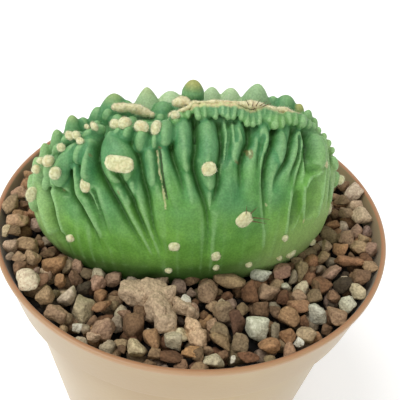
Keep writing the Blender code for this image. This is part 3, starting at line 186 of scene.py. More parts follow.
# Creases: depth, half width, and points (round, up) in millimetres. Round is measured along the belly from
# the middle of the front, up along the flank from the foot to the growing line
CREASES = [
    (2.4, 1.02, [(-52.5, 46), (-52, 36), (-51, 26), (-49, 17)]),
    (3.2, 0.94, [(-47.8, 49), (-47.6, 40), (-46.8, 30), (-45, 20), (-43, 12), (-41.5, 6)]),
    (3.9, 0.85, [(-42.8, 44), (-41.4, 37.4), (-40.3, 29.6), (-39.8, 23.2), (-38.8, 17), (-37.8, 11),
                 (-37, 5)]),
    (2.2, 0.6, [(-38.2, 35.6), (-36.4, 33.2), (-34.6, 31.2), (-33, 30)]),
    (3.9, 0.94, [(-35.6, 50), (-34.3, 42), (-33.6, 36), (-33.2, 31), (-31.2, 26.6), (-30, 23.6),
                 (-28.8, 20.8),
                (-27.8, 18.2), (-26.8, 14.6), (-25.4, 9)]),
    (3.1, 0.77, [(-30.4, 47), (-30.7, 41), (-30.3, 36), (-29.6, 32), (-28.3, 29.6), (-27.4, 27), (-26, 23),
                (-24.8, 18.8), (-23, 13)]),
    (2.7, 0.59, [(-27, 31.5), (-26.4, 28.5), (-25.6, 25), (-24.4, 20), (-23, 15)]),
    (4.1, 0.94, [(-22.8, 49.8), (-24.6, 46), (-25.3, 41.5), (-24.8, 37), (-22.8, 31.5), (-21.2, 28),
                 (-19.3, 24),
                (-17.2, 19.5), (-14.5, 14), (-13, 10)]),
    (3.7, 0.77, [(-19.9, 36.5), (-18.5, 32.5), (-17, 29), (-16, 25), (-14.5, 21), (-12.8, 16),
                 (-11.5, 12)]),
    (3.7, 0.85, [(-21.4, 49.8), (-18.6, 47), (-15.8, 43.2), (-14.4, 38.5), (-14, 34.5), (-13, 30),
                 (-12.4, 25.5),
                (-11.6, 20), (-10, 15), (-9, 11)]),
    (2.2, 0.59, [(-10.4, 45), (-10.1, 40), (-10, 36), (-9.2, 32.5), (-8, 28.5), (-7.2, 25)]),
    (3.9, 0.85, [(-6.4, 48.5), (-6.2, 44), (-6.1, 40.5), (-5.2, 36.5), (-4.2, 32), (-3.4, 27)]),
    (4.1, 0.85, [(1.2, 50), (0.4, 45.5), (-0.4, 41), (-1.1, 38), (-0.2, 33), (0.9, 29), (1.9, 25),
                 (2.4, 19), (2.4, 12)]),
    (3.9, 0.85, [(7.2, 49), (6.8, 43.5), (6.1, 40.5), (5, 36.5), (4.6, 32), (3.6, 28), (2.4, 24)]),
    (2.7, 0.68, [(9.6, 49), (9, 45), (7.8, 40.5), (6.4, 35.5)]),
    (1.7, 0.59, [(11.2, 49), (10.6, 45), (10, 42)]),
    (3.9, 0.85, [(14.6, 48), (14, 43.5), (12.4, 41), (11, 37.5), (10.7, 33), (10.6, 28)]),
    (1.7, 0.59, [(16.4, 49), (15.4, 45), (14.6, 42.5)]),
    (2.2, 0.68, [(17.6, 43.5), (16.4, 40), (15.6, 36), (15.4, 31)]),
    (3.9, 0.85, [(21.6, 47.5), (20.3, 43), (18.9, 39.8), (17.5, 35), (17, 31), (17.4, 25), (18.4, 18)]),
    (3.9, 0.77, [(28, 47.4), (26.6, 44), (25.2, 40.6), (23.6, 37), (20.8, 32.6), (19.6, 29)]),
    (3.1, 0.68, [(29.8, 45), (29.2, 41.5), (27.8, 37.6), (25.6, 33.6), (24.6, 29.6)]),
    (2.7, 0.6, [(30.7, 42), (29.4, 37), (27.4, 32), (26.4, 28)]),
    (4.0, 1.05, [(32.0, 47.5), (31.9, 42), (31.2, 37), (30.2, 32.5)]),
    (2.9, 0.85, [(39.4, 46), (39.4, 40), (39.6, 34), (40, 26), (40.6, 18)]),
    (2.7, 0.94, [(43.5, 46), (43.2, 36), (43.6, 26), (44.5, 17)]),
    (2.7, 0.94, [(49.5, 44), (49.2, 34), (49.5, 24), (50, 17)]),
]
BACK_CREASES = 26
BACK_SEED = 5

# Raised pale lines of the skin: height, half width and points, as for the creases
RIDGES = [
    (1.3, 0.9, [(-40.4, 35.8), (-38.6, 31.6), (-37.6, 28.2), (-37.2, 21.4), (-36.2, 15.8)]),
    (1.8, 2.0, [(-45.0, 43), (-44, 37), (-43.4, 30), (-42.4, 21), (-40.6, 13)]),
    (0.7, 0.7, [(-32.4, 43), (-32.5, 35.6), (-32.2, 32.2), (-31.2, 28.6), (-29.6, 25.6), (-27.8, 21.6),
                (-26.2, 17.2)]),
    (2.4, 1.9, [(-26.4, 47.5), (-27.6, 41), (-28.8, 35.6)]),
    (0.9, 0.6, [(24.9, 30), (24.4, 24), (24.8, 18), (25.1, 15)]),
    (0.9, 0.6, [(28.8, 31), (29.6, 24), (30.4, 18.5)]),
    (1.1, 0.7, [(37.4, 36.5), (37.0, 34.4), (36.7, 28), (36.4, 22), (36.2, 17)]),
    (0.9, 0.7, [(42.2, 38), (43.4, 32), (44.4, 27), (45, 21)]),
    (0.5, 0.8, [(16.4, 36), (16.2, 30), (16.6, 24), (18, 16), (18.6, 11)]),
    (1.0, 0.6, [(29.6, 28.5), (30.4, 31.2), (32.2, 32.6), (34.6, 33.7), (36.6, 35.4)]),
]

# Swellings and hollows of the flank: round, up, half width, half height, lift (below 0 for a hollow)
SWELLINGS = [
    (-19.8, 41.5, 5.3, 8.2, 3.0), (-2.8, 43.5, 2.9, 7.5, 1.6),
    (3.0, 40.5, 3.4, 9.5, 1.9), (10.3, 43.0, 2.2, 6.0, 0.9), (18.4, 44.0, 1.7, 4.5, 1.2),
    (22.4, 42.0, 2.0, 6.0, 1.0), (34.6, 41.2, 2.7, 6.4, 2.4), (32.6, 34.4, 1.8, 2.2, -1.2),
    (27.0, 22.5, 1.9, 6.2, -1.8),
    (33.2, 25.5, 2.9, 7.0, -1.7), (-12.0, 38.0, 1.6, 6.0, 0.7), (-17.4, 33.0, 1.3, 6.0, 0.6),
]

# Tubercles on the flank: round, up, half width, half height, how far they stand out
TUBERCLES = [
    (-48.4, 31.0, 1.7, 3.6, 1.8), (-47.0, 37.4, 1.6, 2.8, 2.2), (-44.0, 42.0, 1.7, 3.6, 2.4),
    (-41.0, 38.6, 1.3, 3.0, 1.4), (-39.0, 42.6, 1.9, 3.4, 2.6),
    (-36.0, 38.0, 1.9, 2.8, 2.5), (-40.8, 46.6, 1.5, 2.4, 2.4), (-35.2, 42.2, 2.4, 6.4, 2.2),
    (-36.6, 48.6, 1.5, 2.4, 2.2), (-32.2, 45.6, 1.5, 3.2, 2.0), (-33.8, 50.4, 1.5, 2.2, 2.2),
    (-29.0, 44.4, 1.9, 3.8, 2.8), (-30.8, 49.6, 1.5, 2.2, 2.2), (-27.2, 48.8, 1.5, 2.6, 2.2),
    (-25.0, 49.6, 1.4, 2.2, 2.0), (-19.2, 46.8, 1.5, 3.0, 2.6), (-16.8, 46.4, 1.5, 3.2, 2.9),
    (-13.4, 44.8, 1.9, 3.4, 3.3), (-10.2, 44.6, 1.1, 2.8, 2.2), (-7.5, 46.0, 2.3, 4.0, 2.9),
    (37.6, 46.0, 1.2, 2.0, 1.4), (44.8, 41.5, 1.3, 2.6, 1.2), (49.5, 37.0, 1.7, 2.6, 1.3),
    (53.0, 40.0, 1.5, 2.6, 1.4),
]

# Wool caps on tubercles: round, up, how far out, half width, half height
CAPS = [
    (-19.6, 48.4, 2.6, 1.6, 1.2), (-17.2, 48.0, 2.9, 1.7, 1.6), (-13.2, 46.2, 3.3, 1.9, 1.4),
    (-9.7, 46.2, 2.4, 1.3, 2.0), (-4.3, 49.6, 1.9, 1.2, 1.2), (-35.4, 38.8, 3.0, 1.4, 1.7),
    (-37.6, 43.6, 3.0, 1.4, 1.6),
    (-34.0, 46.4, 2.8, 1.1, 1.1), (-41.6, 43.0, 3.4, 1.1, 1.2), (-40.0, 45.2, 3.4, 0.9, 1.0),
    (-44.4, 34.4, 2.8, 0.9, 2.4), (-28.4, 45.8, 3.2, 1.0, 0.9), (-31.4, 48.8, 3.0, 1.3, 1.1),
    (-29.6, 48.0, 3.0, 1.2, 1.1), (-27.0, 50.0, 2.5, 0.9, 0.6), (-25.0, 49.2, 2.7, 1.4, 0.8),
    (49.5, 36.6, 1.5, 1.2, 1.5),
]

# Fingers that hang over the front from the growing line: place of the root (along, behind, height) in the
# plant frame, place of the tip (round, up), how far the tip stands out, radius at the root and at the tip
FINGERS = [
    ((-3.9, -1.6, 41.2), (-4.2, 47.8), 1.4, 1.1, 1.1), ((-2.2, -1.8, 42.0), (-2.6, 49.0), 1.2, 1.0, 0.8),
    ((0.2, -2.3, 42.6), (-1.2, 49.4), 1.2, 1.1, 0.8), ((2.1, -1.6, 44.2), (1.6, 48.5), 1.4, 1.2, 0.8),
    ((4.2, -1.5, 44.6), (3.2, 48.9), 1.2, 1.1, 0.7), ((5.7, -1.5, 44.6), (4.8, 49.3), 1.1, 0.9, 0.6),
    ((7.2, -1.5, 44.5), (6.0, 48.5), 1.2, 1.0, 0.7), ((9.0, -1.5, 44.7), (8.2, 49.3), 1.1, 1.1, 0.7),
    ((10.6, -1.5, 44.8), (9.0, 48.3), 1.2, 1.0, 0.7), ((12.6, -1.5, 44.6), (10.4, 48.3), 1.2, 1.2, 0.7),
    ((14.4, -2.0, 43.5), (12.6, 48.1), 1.2, 1.1, 0.8), ((15.9, -2.3, 43.1), (13.5, 46.4), 1.4, 1.0, 0.8),
    ((17.5, -2.3, 42.9), (15.1, 46.2), 1.4, 1.0, 0.8), ((19.2, -2.2, 43.3), (16.8, 46.6), 1.4, 1.1, 0.8),
    ((20.8, -1.7, 43.7), (18.5, 48.0), 1.2, 1.0, 0.7), ((22.2, -2.0, 43.1), (19.7, 47.0), 1.4, 1.2, 0.9),
    ((23.8, -2.0, 42.5), (20.6, 45.6), 1.8, 1.3, 1.2), ((25.4, -2.2, 41.4), (22.6, 46.2), 1.8, 1.4, 1.2),
    ((27.6, -1.6, 41.2), (25.0, 47.6), 1.6, 1.5, 1.4), ((29.6, -1.6, 41.2), (26.8, 47.6), 1.6, 1.4, 1.2),
    ((31.4, -1.6, 40.2), (29.0, 47.4), 1.8, 1.7, 1.7), ((33.4, -1.0, 38.4), (32.2, 48.6), 1.4, 1.2, 1.2),
    ((35.0, -0.6, 36.6), (34.4, 49.4), 1.3, 1.1, 1.0), ((36.8, -0.4, 34.6), (36.8, 49.6), 1.2, 1.1, 1.0),
    ((38.8, -0.4, 32.0), (39.2, 49.2), 1.2, 1.1, 1.0), ((40.4, -0.4, 29.4), (41.4, 48.4), 1.2, 1.1, 1.0),
    ((41.8, -0.4, 26.4), (43.6, 47.4), 1.2, 1.0, 0.9),
]

# Tall tubercles behind the growing line: along, behind, height of the tip in the plant frame, half width,
# height, sharpness of the tip, how pale it is and how yellow its tip is
TALL_TUBERCLES = [
    (-30.6, 4.0, 38.9, 2.7, 4.5, 0.50, 0.0, 0.5), (-27.8, 5.0, 37.6, 2.4, 3.0, 0.5, 0.1, 0.2),
    (-35.0, 4.0, 34.4, 2.4, 4.0, 0.5, 0.0, 0.4), (-38.6, 3.4, 30.4, 2.2, 4.0, 0.5, 0.0, 0.4),
    (-41.2, 2.6, 26.2, 2.0, 3.6, 0.5, 0.0, 0.4), (-43.2, 2.0, 20.6, 1.9, 3.6, 0.5, 0.0, 0.3),
    (-23.8, 7.0, 39.6, 3.0, 4.0, 0.5, 0.1, 0.3), (-19.2, 9.0, 42.6, 6.4, 8.5, 0.55, 0.05, 0.5),
    (-16.0, 8.0, 41.1, 3.5, 4.0, 0.5, 0.0, 0.1), (-24.0, 2.4, 38.2, 1.6, 2.4, 0.42, 0.0, 0.1),
    (-20.9, 4.5, 40.5, 1.9, 2.2, 0.42, 0.0, 0.0), (-18.4, 1.6, 40.6, 2.2, 2.4, 0.45, 0.0, 0.0),
    (-14.6, 1.0, 40.2, 2.5, 2.6, 0.45, 0.0, 0.0), (-11.2, 0.4, 39.4, 2.2, 2.4, 0.45, 0.0, 0.0),
    (-16.4, -3.0, 39.6, 1.7, 2.4, 0.45, 0.0, 0.0),
    (-12.8, -3.4, 39.2, 1.8, 2.4, 0.45, 0.0, 0.0), (-9.6, -2.6, 39.0, 1.6, 2.4, 0.45, 0.0, 0.0),
    (-6.8, -3.2, 39.6, 2.0, 2.4, 0.45, 0.0, 0.0),
    (-10.0, 11.0, 43.6, 4.6, 7.0, 0.66, 0.7, 0.5), (-3.1, 12.0, 41.6, 5.0, 5.0, 0.50, 1.0, 0.2),
    (0.6, 12.0, 40.6, 3.4, 4.0, 0.50, 0.9, 0.1),
    (-5.8, 6.5, 41.4, 3.7, 3.4, 0.42, 0.0, 0.0), (-6.8, 2.0, 40.4, 2.0, 2.6, 0.45, 0.0, 0.0),
    (2.3, 6.4, 48.2, 3.1, 3.2, 0.42, 0.0, 0.9),
    (8.7, 12.0, 43.0, 3.3, 4.0, 0.52, 0.8, 0.1), (14.3, 12.0, 42.7, 3.9, 4.5, 0.52, 0.85, 0.1),
    (21.6, 10.5, 44.9, 5.0, 7.0, 0.56, 0.55, 0.1), (26.6, 10.0, 41.2, 3.0, 4.0, 0.5, 0.2, 0.1),
    (30.3, 9.0, 42.0, 4.1, 4.5, 0.45, 0.0, 0.3), (33.8, 7.0, 40.4, 2.3, 3.5, 0.45, 0.1, 0.9),
    (35.7, 4.0, 40.2, 1.7, 2.5, 0.42, 0.0, 0.1), (37.8, 3.4, 37.9, 1.5, 2.2, 0.42, 0.0, 0.1),
    (38.6, 3.0, 35.6, 1.3, 2.2, 0.4, 0.1, 0.3), (39.4, 2.6, 33.8, 1.4, 2.2, 0.4, 0.1, 0.3),
    (41.0, 2.2, 32.2, 1.3, 2.2, 0.4, 0.1, 0.4), (42.2, 1.8, 30.2, 1.3, 2.2, 0.4, 0.1, 0.4),
    (43.0, 1.4, 27.8, 1.2, 2.2, 0.4, 0.1, 0.3), (43.8, 1.0, 24.6, 1.2, 2.2, 0.4, 0.1, 0.2),
]
BACK_TUBERCLES = 18

# Woolly areoles on the front: round, up, half width, half height, tilt in degrees
AREOLES = [
    (-18.9, 38.3, 3.45, 2.0, 2), (-28.9, 33.9, 1.45, 2.0, 0), (-35.3, 15.4, 1.3, 1.2, 20),
    (-6.5, 15.6, 1.5, 1.4, 0), (-8.2, 7.2, 1.1, 0.8, -20), (4.8, 11.8, 1.3, 1.6, 0),
    (5.2, 7.6, 0.9, 1.0, 0), (15.2, 6.8, 1.0, 0.8, 20), (25.5, 6.2, 0.8, 0.7, 10),
    (30.2, 5.8, 1.7, 0.9, 25), (41.5, 4.6, 1.2, 0.8, 20), (25.1, 14.2, 0.8, 1.2, 0),
    (11.6, 22.5, 2.3, 2.1, 30), (2.3, 36.4, 1.9, 1.7, 15), (37.8, 37.6, 1.1, 1.6, 0),
    (52.0, 17.0, 1.9, 1.7, 0),
]
BACK_AREOLES = 12
AREOLE_SEED = 22

# Spines: round, up, length, lean to the side and lean up, both in degrees from straight out
SPINES = [
    (12.0, 23.4, 5.5, -8, 62), (13.0, 23.6, 4.6, 14, 58), (14.2, 22.6, 4.4, 62, 6),
    (14.0, 21.6, 3.8, 66, -8),
    (52.6, 17.0, 6.5, 24, -6), (52.2, 16.2, 5.0, 8, -18),
]

# Spines that stand in the wool: place in the plant frame, length, lean along the crest and lean to the front
WOOL_SPINES = [
    ((16.6, -1.4, 44.6), 3.6, -26, 20), ((17.4, -1.6, 44.6), 4.2, -10, 36), ((18.3, -1.6, 44.6),
    4.4, 6, 28),
    ((19.2, -1.5, 44.6), 4.0, 22, 34), ((17.9, -1.8, 44.2), 3.6, -4, 58), ((20.0, -1.4, 44.4), 3.4, 38, 30),
]

# Lines of wool along the crest: points in the plant frame with the radius there
WOOL_LINES = [
    [(-18.9, 3.0, 42.0, 1.2), (-17.8, 3.0, 41.7, 1.4), (-16.2, 3.0, 41.8, 1.3), (-14.6, 3.0, 41.6, 1.3),
     (-12.4, 3.0, 41.0, 1.6), (-11.4, 2.8, 40.5, 1.5), (-10.6, 2.6, 40.2, 1.2)],
    [(-9.2, 2.2, 40.0, 1.0), (-9.0, 2.2, 39.7, 0.9)],
    [(-2.6, 2.5, 43.5, 1.4), (-1.4, 2.5, 43.7, 1.7), (-0.4, 2.5, 43.9, 1.4), (0.6, 1.6, 44.0, 0.8)],
    [(-4.3, -2.0, 42.3, 0.9), (-3.2, -1.8, 42.5, 0.9), (-2.4, -1.4, 42.8, 0.6), (-1.2, -1.0, 43.2, 0.8),
     (0.4, -0.2, 43.6, 0.7), (1.1, 0.2, 44.2, 0.6), (1.8, 0.4, 44.6, 0.7), (4.1, 0.4, 44.8, 0.5),
     (6.0, 0.1, 45.0, 0.7), (7.2, -0.1, 45.2, 0.9), (8.6, 0.2, 45.0, 0.7), (11.0, 0.3, 44.9, 0.5),
     (13.6, 0.1, 44.8, 0.6), (15.8, -0.4, 44.6, 1.0), (17.7, -0.8, 44.6, 1.5), (19.6, -0.8, 44.4, 1.2),
     (21.2, -0.4, 43.8, 0.7), (23.3, -0.8, 43.3, 1.0), (25.0, -0.2, 42.8, 0.7), (26.8, 0.0, 42.6, 1.2),
     (28.6, 0.0, 42.0, 0.7), (31.3, 0.2, 41.0, 0.5), (33.0, 0.2, 39.6, 0.5), (34.5, 0.2, 38.2, 0.5)],
]

# Low folds of the belly, in millimetres: how far they stand out, and their distance
FOLD_LIFT = 0.16
FOLD_PACE = 3.9

# Marks on the skin: kind, half width in millimetres, then places on the skin as in the creases
MARKS = [
    ("split", 0.26, [(-10.0, 43.6), (-9.8, 40), (-9.9, 37.4), (-9.4, 34), (-9.0, 30.6), (-8.5, 26.5)]),
    ("crack", 0.30, [(-9.2, 41.6), (-9.1, 37.2), (-8.7, 32.6), (-8.1, 29)]),
    ("scar", 0.50, [(-10.9, 45.2), (-10.5, 43.4)]), ("scar", 0.50, [(-9.2, 43.6), (-9.0, 42.4)]),
    ("scar", 0.32, [(-26.7, 42.2), (-26.5, 41.8)]), ("scar", 0.40, [(-36.6, 33.6), (-36, 32.6)]),
    ("scar", 0.32, [(13.3, 41.4), (13.0, 39.8), (13.6, 38.6), (14.2, 39.6), (14.1, 41.0)]),
    ("split", 0.26, [(13.6, 40.8), (13.6, 39.6)]),
    ("scar", 0.35, [(9.4, 38.1), (10.8, 37.6)]), ("split", 0.22, [(18.0, 25.6), (18.1, 24.8)]),
    ("split", 0.30, [(31, 18.8), (31, 17.2)]), ("scar", 0.30, [(-20.5, 31.4), (-20.1, 30.6)]),
]

COLUMNS, ROWS = 460, 110
SKIN_VOXEL = 0.00038
SKIN_FACES = 190000
WOOL_VOXEL = 0.00026

# Axes of a stone that show its half width and half height to the camera
VIEW_AXES = np.array([(1.0, 0.0, 0.0), (0.0, 0.65, 0.76), (0.0, -0.76, 0.65)])

WORLD_LIGHT = 0.62
LAMPS = [("key", (-0.30, -0.05, 0.85), 0.45, 3.6), ("fill", (-0.15, -0.75, 0.32), 0.7, 1.4)]
FLOOR_GLOW = 0.31

# In millimetres: how far the crest sinks behind its front line, how far the ribs stand out from the smooth
# body, and how deep a tall tubercle is rooted
CREST_DIP = 4.0
SKIN_LIFT = 0.9
TALL_ROOT = 9.0

# Outline of the crest at its left and right: how square it is, and how steeply its ends fall
CREST_BULGES = (2.5, 4.0)
CREST_POWERS = (0.52, 0.55)

# How far the flank swells below and above the belly: along, across
LOW_SWELL = (1.5, 1.4)
HIGH_SWELL = 1.05
FRONT_SWELL, BACK_SWELL = 1.05, 0.92

# Hairs on wool: how many to a square millimetre, then length and radius in millimetres
HAIRS_PER_MM2 = 14
WOOL_HAIR = (0.6, 0.024)
AREOLE_HAIR = (0.5, 0.022)
WOOL_SEED = 21

# Half widths of a spine at its root on the skin and in the wool, and at its tip, in millimetres
SPINE_WIDTH, WOOL_SPINE_WIDTH, SPINE_TIP = 0.17, 0.16, 0.04

STONE_VOXEL = 0.00022
STONE_ROUGHNESS = 0.05

# Colours of wool: painted shade in its hollows, its face, and where it is stained
CREST_WOOL = ((200, 194, 146), (230, 224, 182), (216, 184, 144))
AREOLE_WOOL = ((194, 192, 142), (224, 224, 180), (212, 186, 136))

# Coats of the skin, in order: the value that rules it, where it starts and ends, its strength and its colour
SKIN_COATS = [
    # The second rise coat, to (40, 88, 36), is painted shade in the valley of the crest
    ("rise", 0.80, 0.90, 0.45, (118, 168, 112)), ("rise", 0.93, 0.98, 0.4, (40, 88, 36)),
    # The relief coat is painted shade in the broad hollows of the skin, and the two coats on crease depth are
    # painted shade along the creases
    ("relief", -0.1, -0.8, 0.8, (44, 96, 26)), ("crease_shade", 0.15, 0.7, 0.75, (46, 92, 26)),
    ("crease_shade", 0.65, 1.0, 0.7, (22, 52, 14)), ("edge", 0.02, 0.12, 0.6, (146, 188, 128)),
    ("pale", 0.0, 1.0, 0.75, (190, 212, 166)), ("tip", 0.2, 0.9, 0.75, (170, 162, 88)),
]
MARK_COATS = [
    ("split", 0.2, 0.8, 0.65, (214, 206, 158)), ("crack", 0.2, 0.7, 0.85, (38, 52, 20)),
    ("scar", 0.2, 0.8, 0.6, (124, 96, 58)),
]

# Where the camera stands, in metres: from the middle of the rim, and from the origin
CAMERA_OFFSET = CAMERA_REACH * np.array((0, -math.cos(math.radians(CAMERA_RISE)),
                                         math.sin(math.radians(CAMERA_RISE))))
CAMERA_PLACE = CAMERA_OFFSET + np.array((0, 0, POT_HEIGHT))


def srgb(colour):
    """Linear colour of an sRGB one in 0..255."""
    share = np.asarray(colour, float) / 255
    return tuple(np.where(share <= 0.04045, share / 12.92, ((share + 0.055) / 1.055) ** 2.4))


def add_object(name, data):
    """Put a mesh, a lamp or a camera in the scene as an object."""
    made = bpy.data.objects.new(name, data)
    bpy.context.scene.collection.objects.link(made)
    return made


def solid_of(name, parts):
    """One object of several (points, faces) pairs."""
    points, faces, count = [], [], 0
    for spots, sides in parts:
        points.append(spots)
        faces.append(sides + count)
        count += len(spots)
    mesh = bpy.data.meshes.new(name)
    mesh.from_pydata(np.concatenate(points).tolist(), [], np.concatenate(faces).tolist())
    mesh.update()
    mesh.shade_smooth()
    return add_object(name, mesh)


def apply_modifiers(thing):
    """Bake an object's modifiers into its mesh."""
    graph = bpy.context.evaluated_depsgraph_get()
    baked = bpy.data.meshes.new_from_object(thing.evaluated_get(graph))
    thing.modifiers.clear()
    old = thing.data
    thing.data = baked
    bpy.data.meshes.remove(old)


def fuse(thing, size):
    """Give an object the modifier that fuses its overlapping forms into one even skin."""
    even = thing.modifiers.new("even", "REMESH")
    even.mode = "VOXEL"
    even.voxel_size = size


def remesh(thing, size, rounds, most):
    """Fuse overlapping forms, soften their skin and thin it to a number of triangles."""
    fuse(thing, size)
    soft = thing.modifiers.new("soft", "SMOOTH")
    soft.iterations = rounds
    soft.factor = 0.5
    apply_modifiers(thing)
    count = 2 * len(thing.data.polygons)
    if count > most:
        thin = thing.modifiers.new("thin", "DECIMATE")
        thin.ratio = most / count
        apply_modifiers(thing)
    keep_largest_body(thing)
    thing.data.shade_smooth()


def keep_largest_body(thing):
    """Drop loose scraps and sealed hollows."""
    form = bmesh.new()
    form.from_mesh(thing.data)
    left = set(form.verts)
    bodies = []
    while left:
        body, edge = set(), [left.pop()]
        while edge:
            vert = edge.pop()
            body.add(vert)
            near = {link.other_vert(vert) for link in vert.link_edges} & left
            left -= near
            edge.extend(near)
        bodies.append(body)
    bodies.sort(key=len)
    for body in bodies[:-1]:
        bmesh.ops.delete(form, geom=list(body), context="VERTS")
    form.to_mesh(thing.data)
    form.free()


BALLS = {}


def ball(fineness):
    """Points and triangles of a round ball of radius 1."""
    if fineness not in BALLS:
        form = bmesh.new()
        bmesh.ops.create_icosphere(form, subdivisions=fineness, radius=1)
        points = np.array([v.co[:] for v in form.verts])
        faces = np.array([[v.index for v in f.verts] for f in form.faces])
        form.free()
        BALLS[fineness] = (points, faces)
    return BALLS[fineness]


def any_way(draw):
    """Three seeded numbers about zero, which point any way."""
    return np.array([draw.gauss(0, 1) for _ in range(3)])


def waves(draw, ways, count, pace):
    """Smooth uneven values, about -1..1, for directions."""
    total = np.zeros(len(ways))
    for _ in range(count):
        aim = any_way(draw)
        aim *= pace * draw.uniform(0.6, 1.4) / np.linalg.norm(aim)
        total += np.sin(ways @ aim + draw.uniform(0, math.tau))
    return total / math.sqrt(count)


class Paint:
    """A Principled material and short names for the nodes that feed it."""

    def __init__(self, name, **fixed):
        self.material = bpy.data.materials.new(name)
        self.material.use_nodes = True
        self.tree = self.material.node_tree
        self.shader = self.tree.nodes["Principled BSDF"]
        for key, value in fixed.items():
            self.shader.inputs[key.replace("_", " ")].default_value = value
        self.place = self.tree.nodes.new("ShaderNodeTexCoord").outputs["Object"]

    def feed(self, socket, value):
        """Set a socket to a number or colour, or link it."""
        if isinstance(value, bpy.types.NodeSocket):
            self.tree.links.new(value, socket)
        elif isinstance(value, tuple) and len(value) == 3 and socket.type == "RGBA":
            socket.default_value = (*value, 1)
        else:
            socket.default_value = value

    def attribute(self, name, output="Fac"):
        node = self.tree.nodes.new("ShaderNodeAttribute")
        node.attribute_name = name
        return node.outputs[output]

    def noise(self, scale, detail):
        node = self.tree.nodes.new("ShaderNodeTexNoise")
        self.tree.links.new(self.place, node.inputs["Vector"])
        node.inputs["Scale"].default_value = scale
        node.inputs["Detail"].default_value = detail
        return node.outputs["Fac"]

    def pits(self, scale):
        node = self.tree.nodes.new("ShaderNodeTexVoronoi")
        self.tree.links.new(self.place, node.inputs["Vector"])
        node.inputs["Scale"].default_value = scale
        return node.outputs["Distance"]

    def span(self, value, low, high, new_low=0.0, new_high=1.0):
        node = self.tree.nodes.new("ShaderNodeMapRange")
        node.interpolation_type = "SMOOTHSTEP"
        for key, number in zip(("From Min", "From Max", "To Min", "To Max"), (low, high, new_low, new_high)):
            node.inputs[key].default_value = number
        self.feed(node.inputs["Value"], value)
        return node.outputs["Result"]

    def math(self, how, first, second):
        node = self.tree.nodes.new("ShaderNodeMath")
        node.operation = how
        self.feed(node.inputs[0], first)
        self.feed(node.inputs[1], second)
        return node.outputs[0]

    def mix(self, share, first, second, how="MIX"):
        node = self.tree.nodes.new("ShaderNodeMix")
        node.data_type = "RGBA"
        node.blend_type = how
        self.feed(node.inputs[0], share)
        self.feed(node.inputs[6], first)
        self.feed(node.inputs[7], second)
        return node.outputs[2]

    def blend(self, value, low, high, first, second):
        """From one sRGB colour to another as a value goes from low to high."""
        return self.mix(self.span(value, low, high), srgb(first), srgb(second))

    def coat(self, under, value, low, high, share, over):
        """Lay a colour over another as a value goes from low to high."""
        return self.mix(self.span(value, low, high, 0, share), under, over)

    def colour(self, value):
        self.feed(self.shader.inputs["Base Color"], value)

    def bump(self, height, strength, distance):
        node = self.tree.nodes.new("ShaderNodeBump")
        node.inputs["Strength"].default_value = strength
        node.inputs["Distance"].default_value = distance
        self.feed(node.inputs["Height"], height)
        self.feed(self.shader.inputs["Normal"], node.outputs["Normal"])


def put(thing, paint, slot, *nodes):
    """Give a piece its material, hang it under the root, and hide any parts of the frame that it replaces."""
    thing.data.materials.clear()
    thing.data.materials.append(paint.material)
    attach(thing, "root")
    if nodes:
        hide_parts(*nodes)


def wall_radius(height, inset):
    """Radius of the pot's wall at a height, measured in by inset from its outer face."""
    step = POT_HEIGHT - COLLAR_HEIGHT
    if height >= step:
        share = (height - step) / COLLAR_HEIGHT
        return COLLAR_FOOT_RADIUS + share * (LIP_RADIUS - LIP_FLANGE - COLLAR_FOOT_RADIUS) - inset
    share = height / step
    return BODY_FOOT_RADIUS + share * (BODY_TOP_RADIUS - BODY_FOOT_RADIUS) - inset


def rounded(profile, radius):
    """The profile with each inner corner turned into a short curve."""
    out = [profile[0]]
    for before, corner, after in zip(profile, profile[1:], profile[2:]):
        before, corner, after = (np.array(p, float) for p in (before, corner, after))
        size = min(radius, 0.45 * np.linalg.norm(before - corner), 0.45 * np.linalg.norm(after - corner))
        a = corner + size * (before - corner) / np.linalg.norm(before - corner)
        b = corner + size * (after - corner) / np.linalg.norm(after - corner)
        for t in np.linspace(0, 1, 5):
            out.append(tuple((1 - t) ** 2 * a + 2 * t * (1 - t) * corner + t**2 * b))
    out.append(profile[-1])
    return out


def turned(name, profile, steps):
    """Turn a profile of (radius, height) round Z."""
    mesh = bpy.data.meshes.new(name)
    mesh.from_pydata([(r, 0, z) for r, z in profile], [(i, i + 1) for i in range(len(profile) - 1)], [])
    made = add_object(name, mesh)
    screw = made.modifiers.new("turn", "SCREW")
    screw.steps = steps
    screw.render_steps = steps
    screw.use_merge_vertices = True
    screw.merge_threshold = 0.00002
    apply_modifiers(made)
    form = bmesh.new()
    form.from_mesh(made.data)
    bmesh.ops.recalc_face_normals(form, faces=form.faces)
    form.to_mesh(made.data)
    form.free()
    made.data.shade_smooth()
    return made


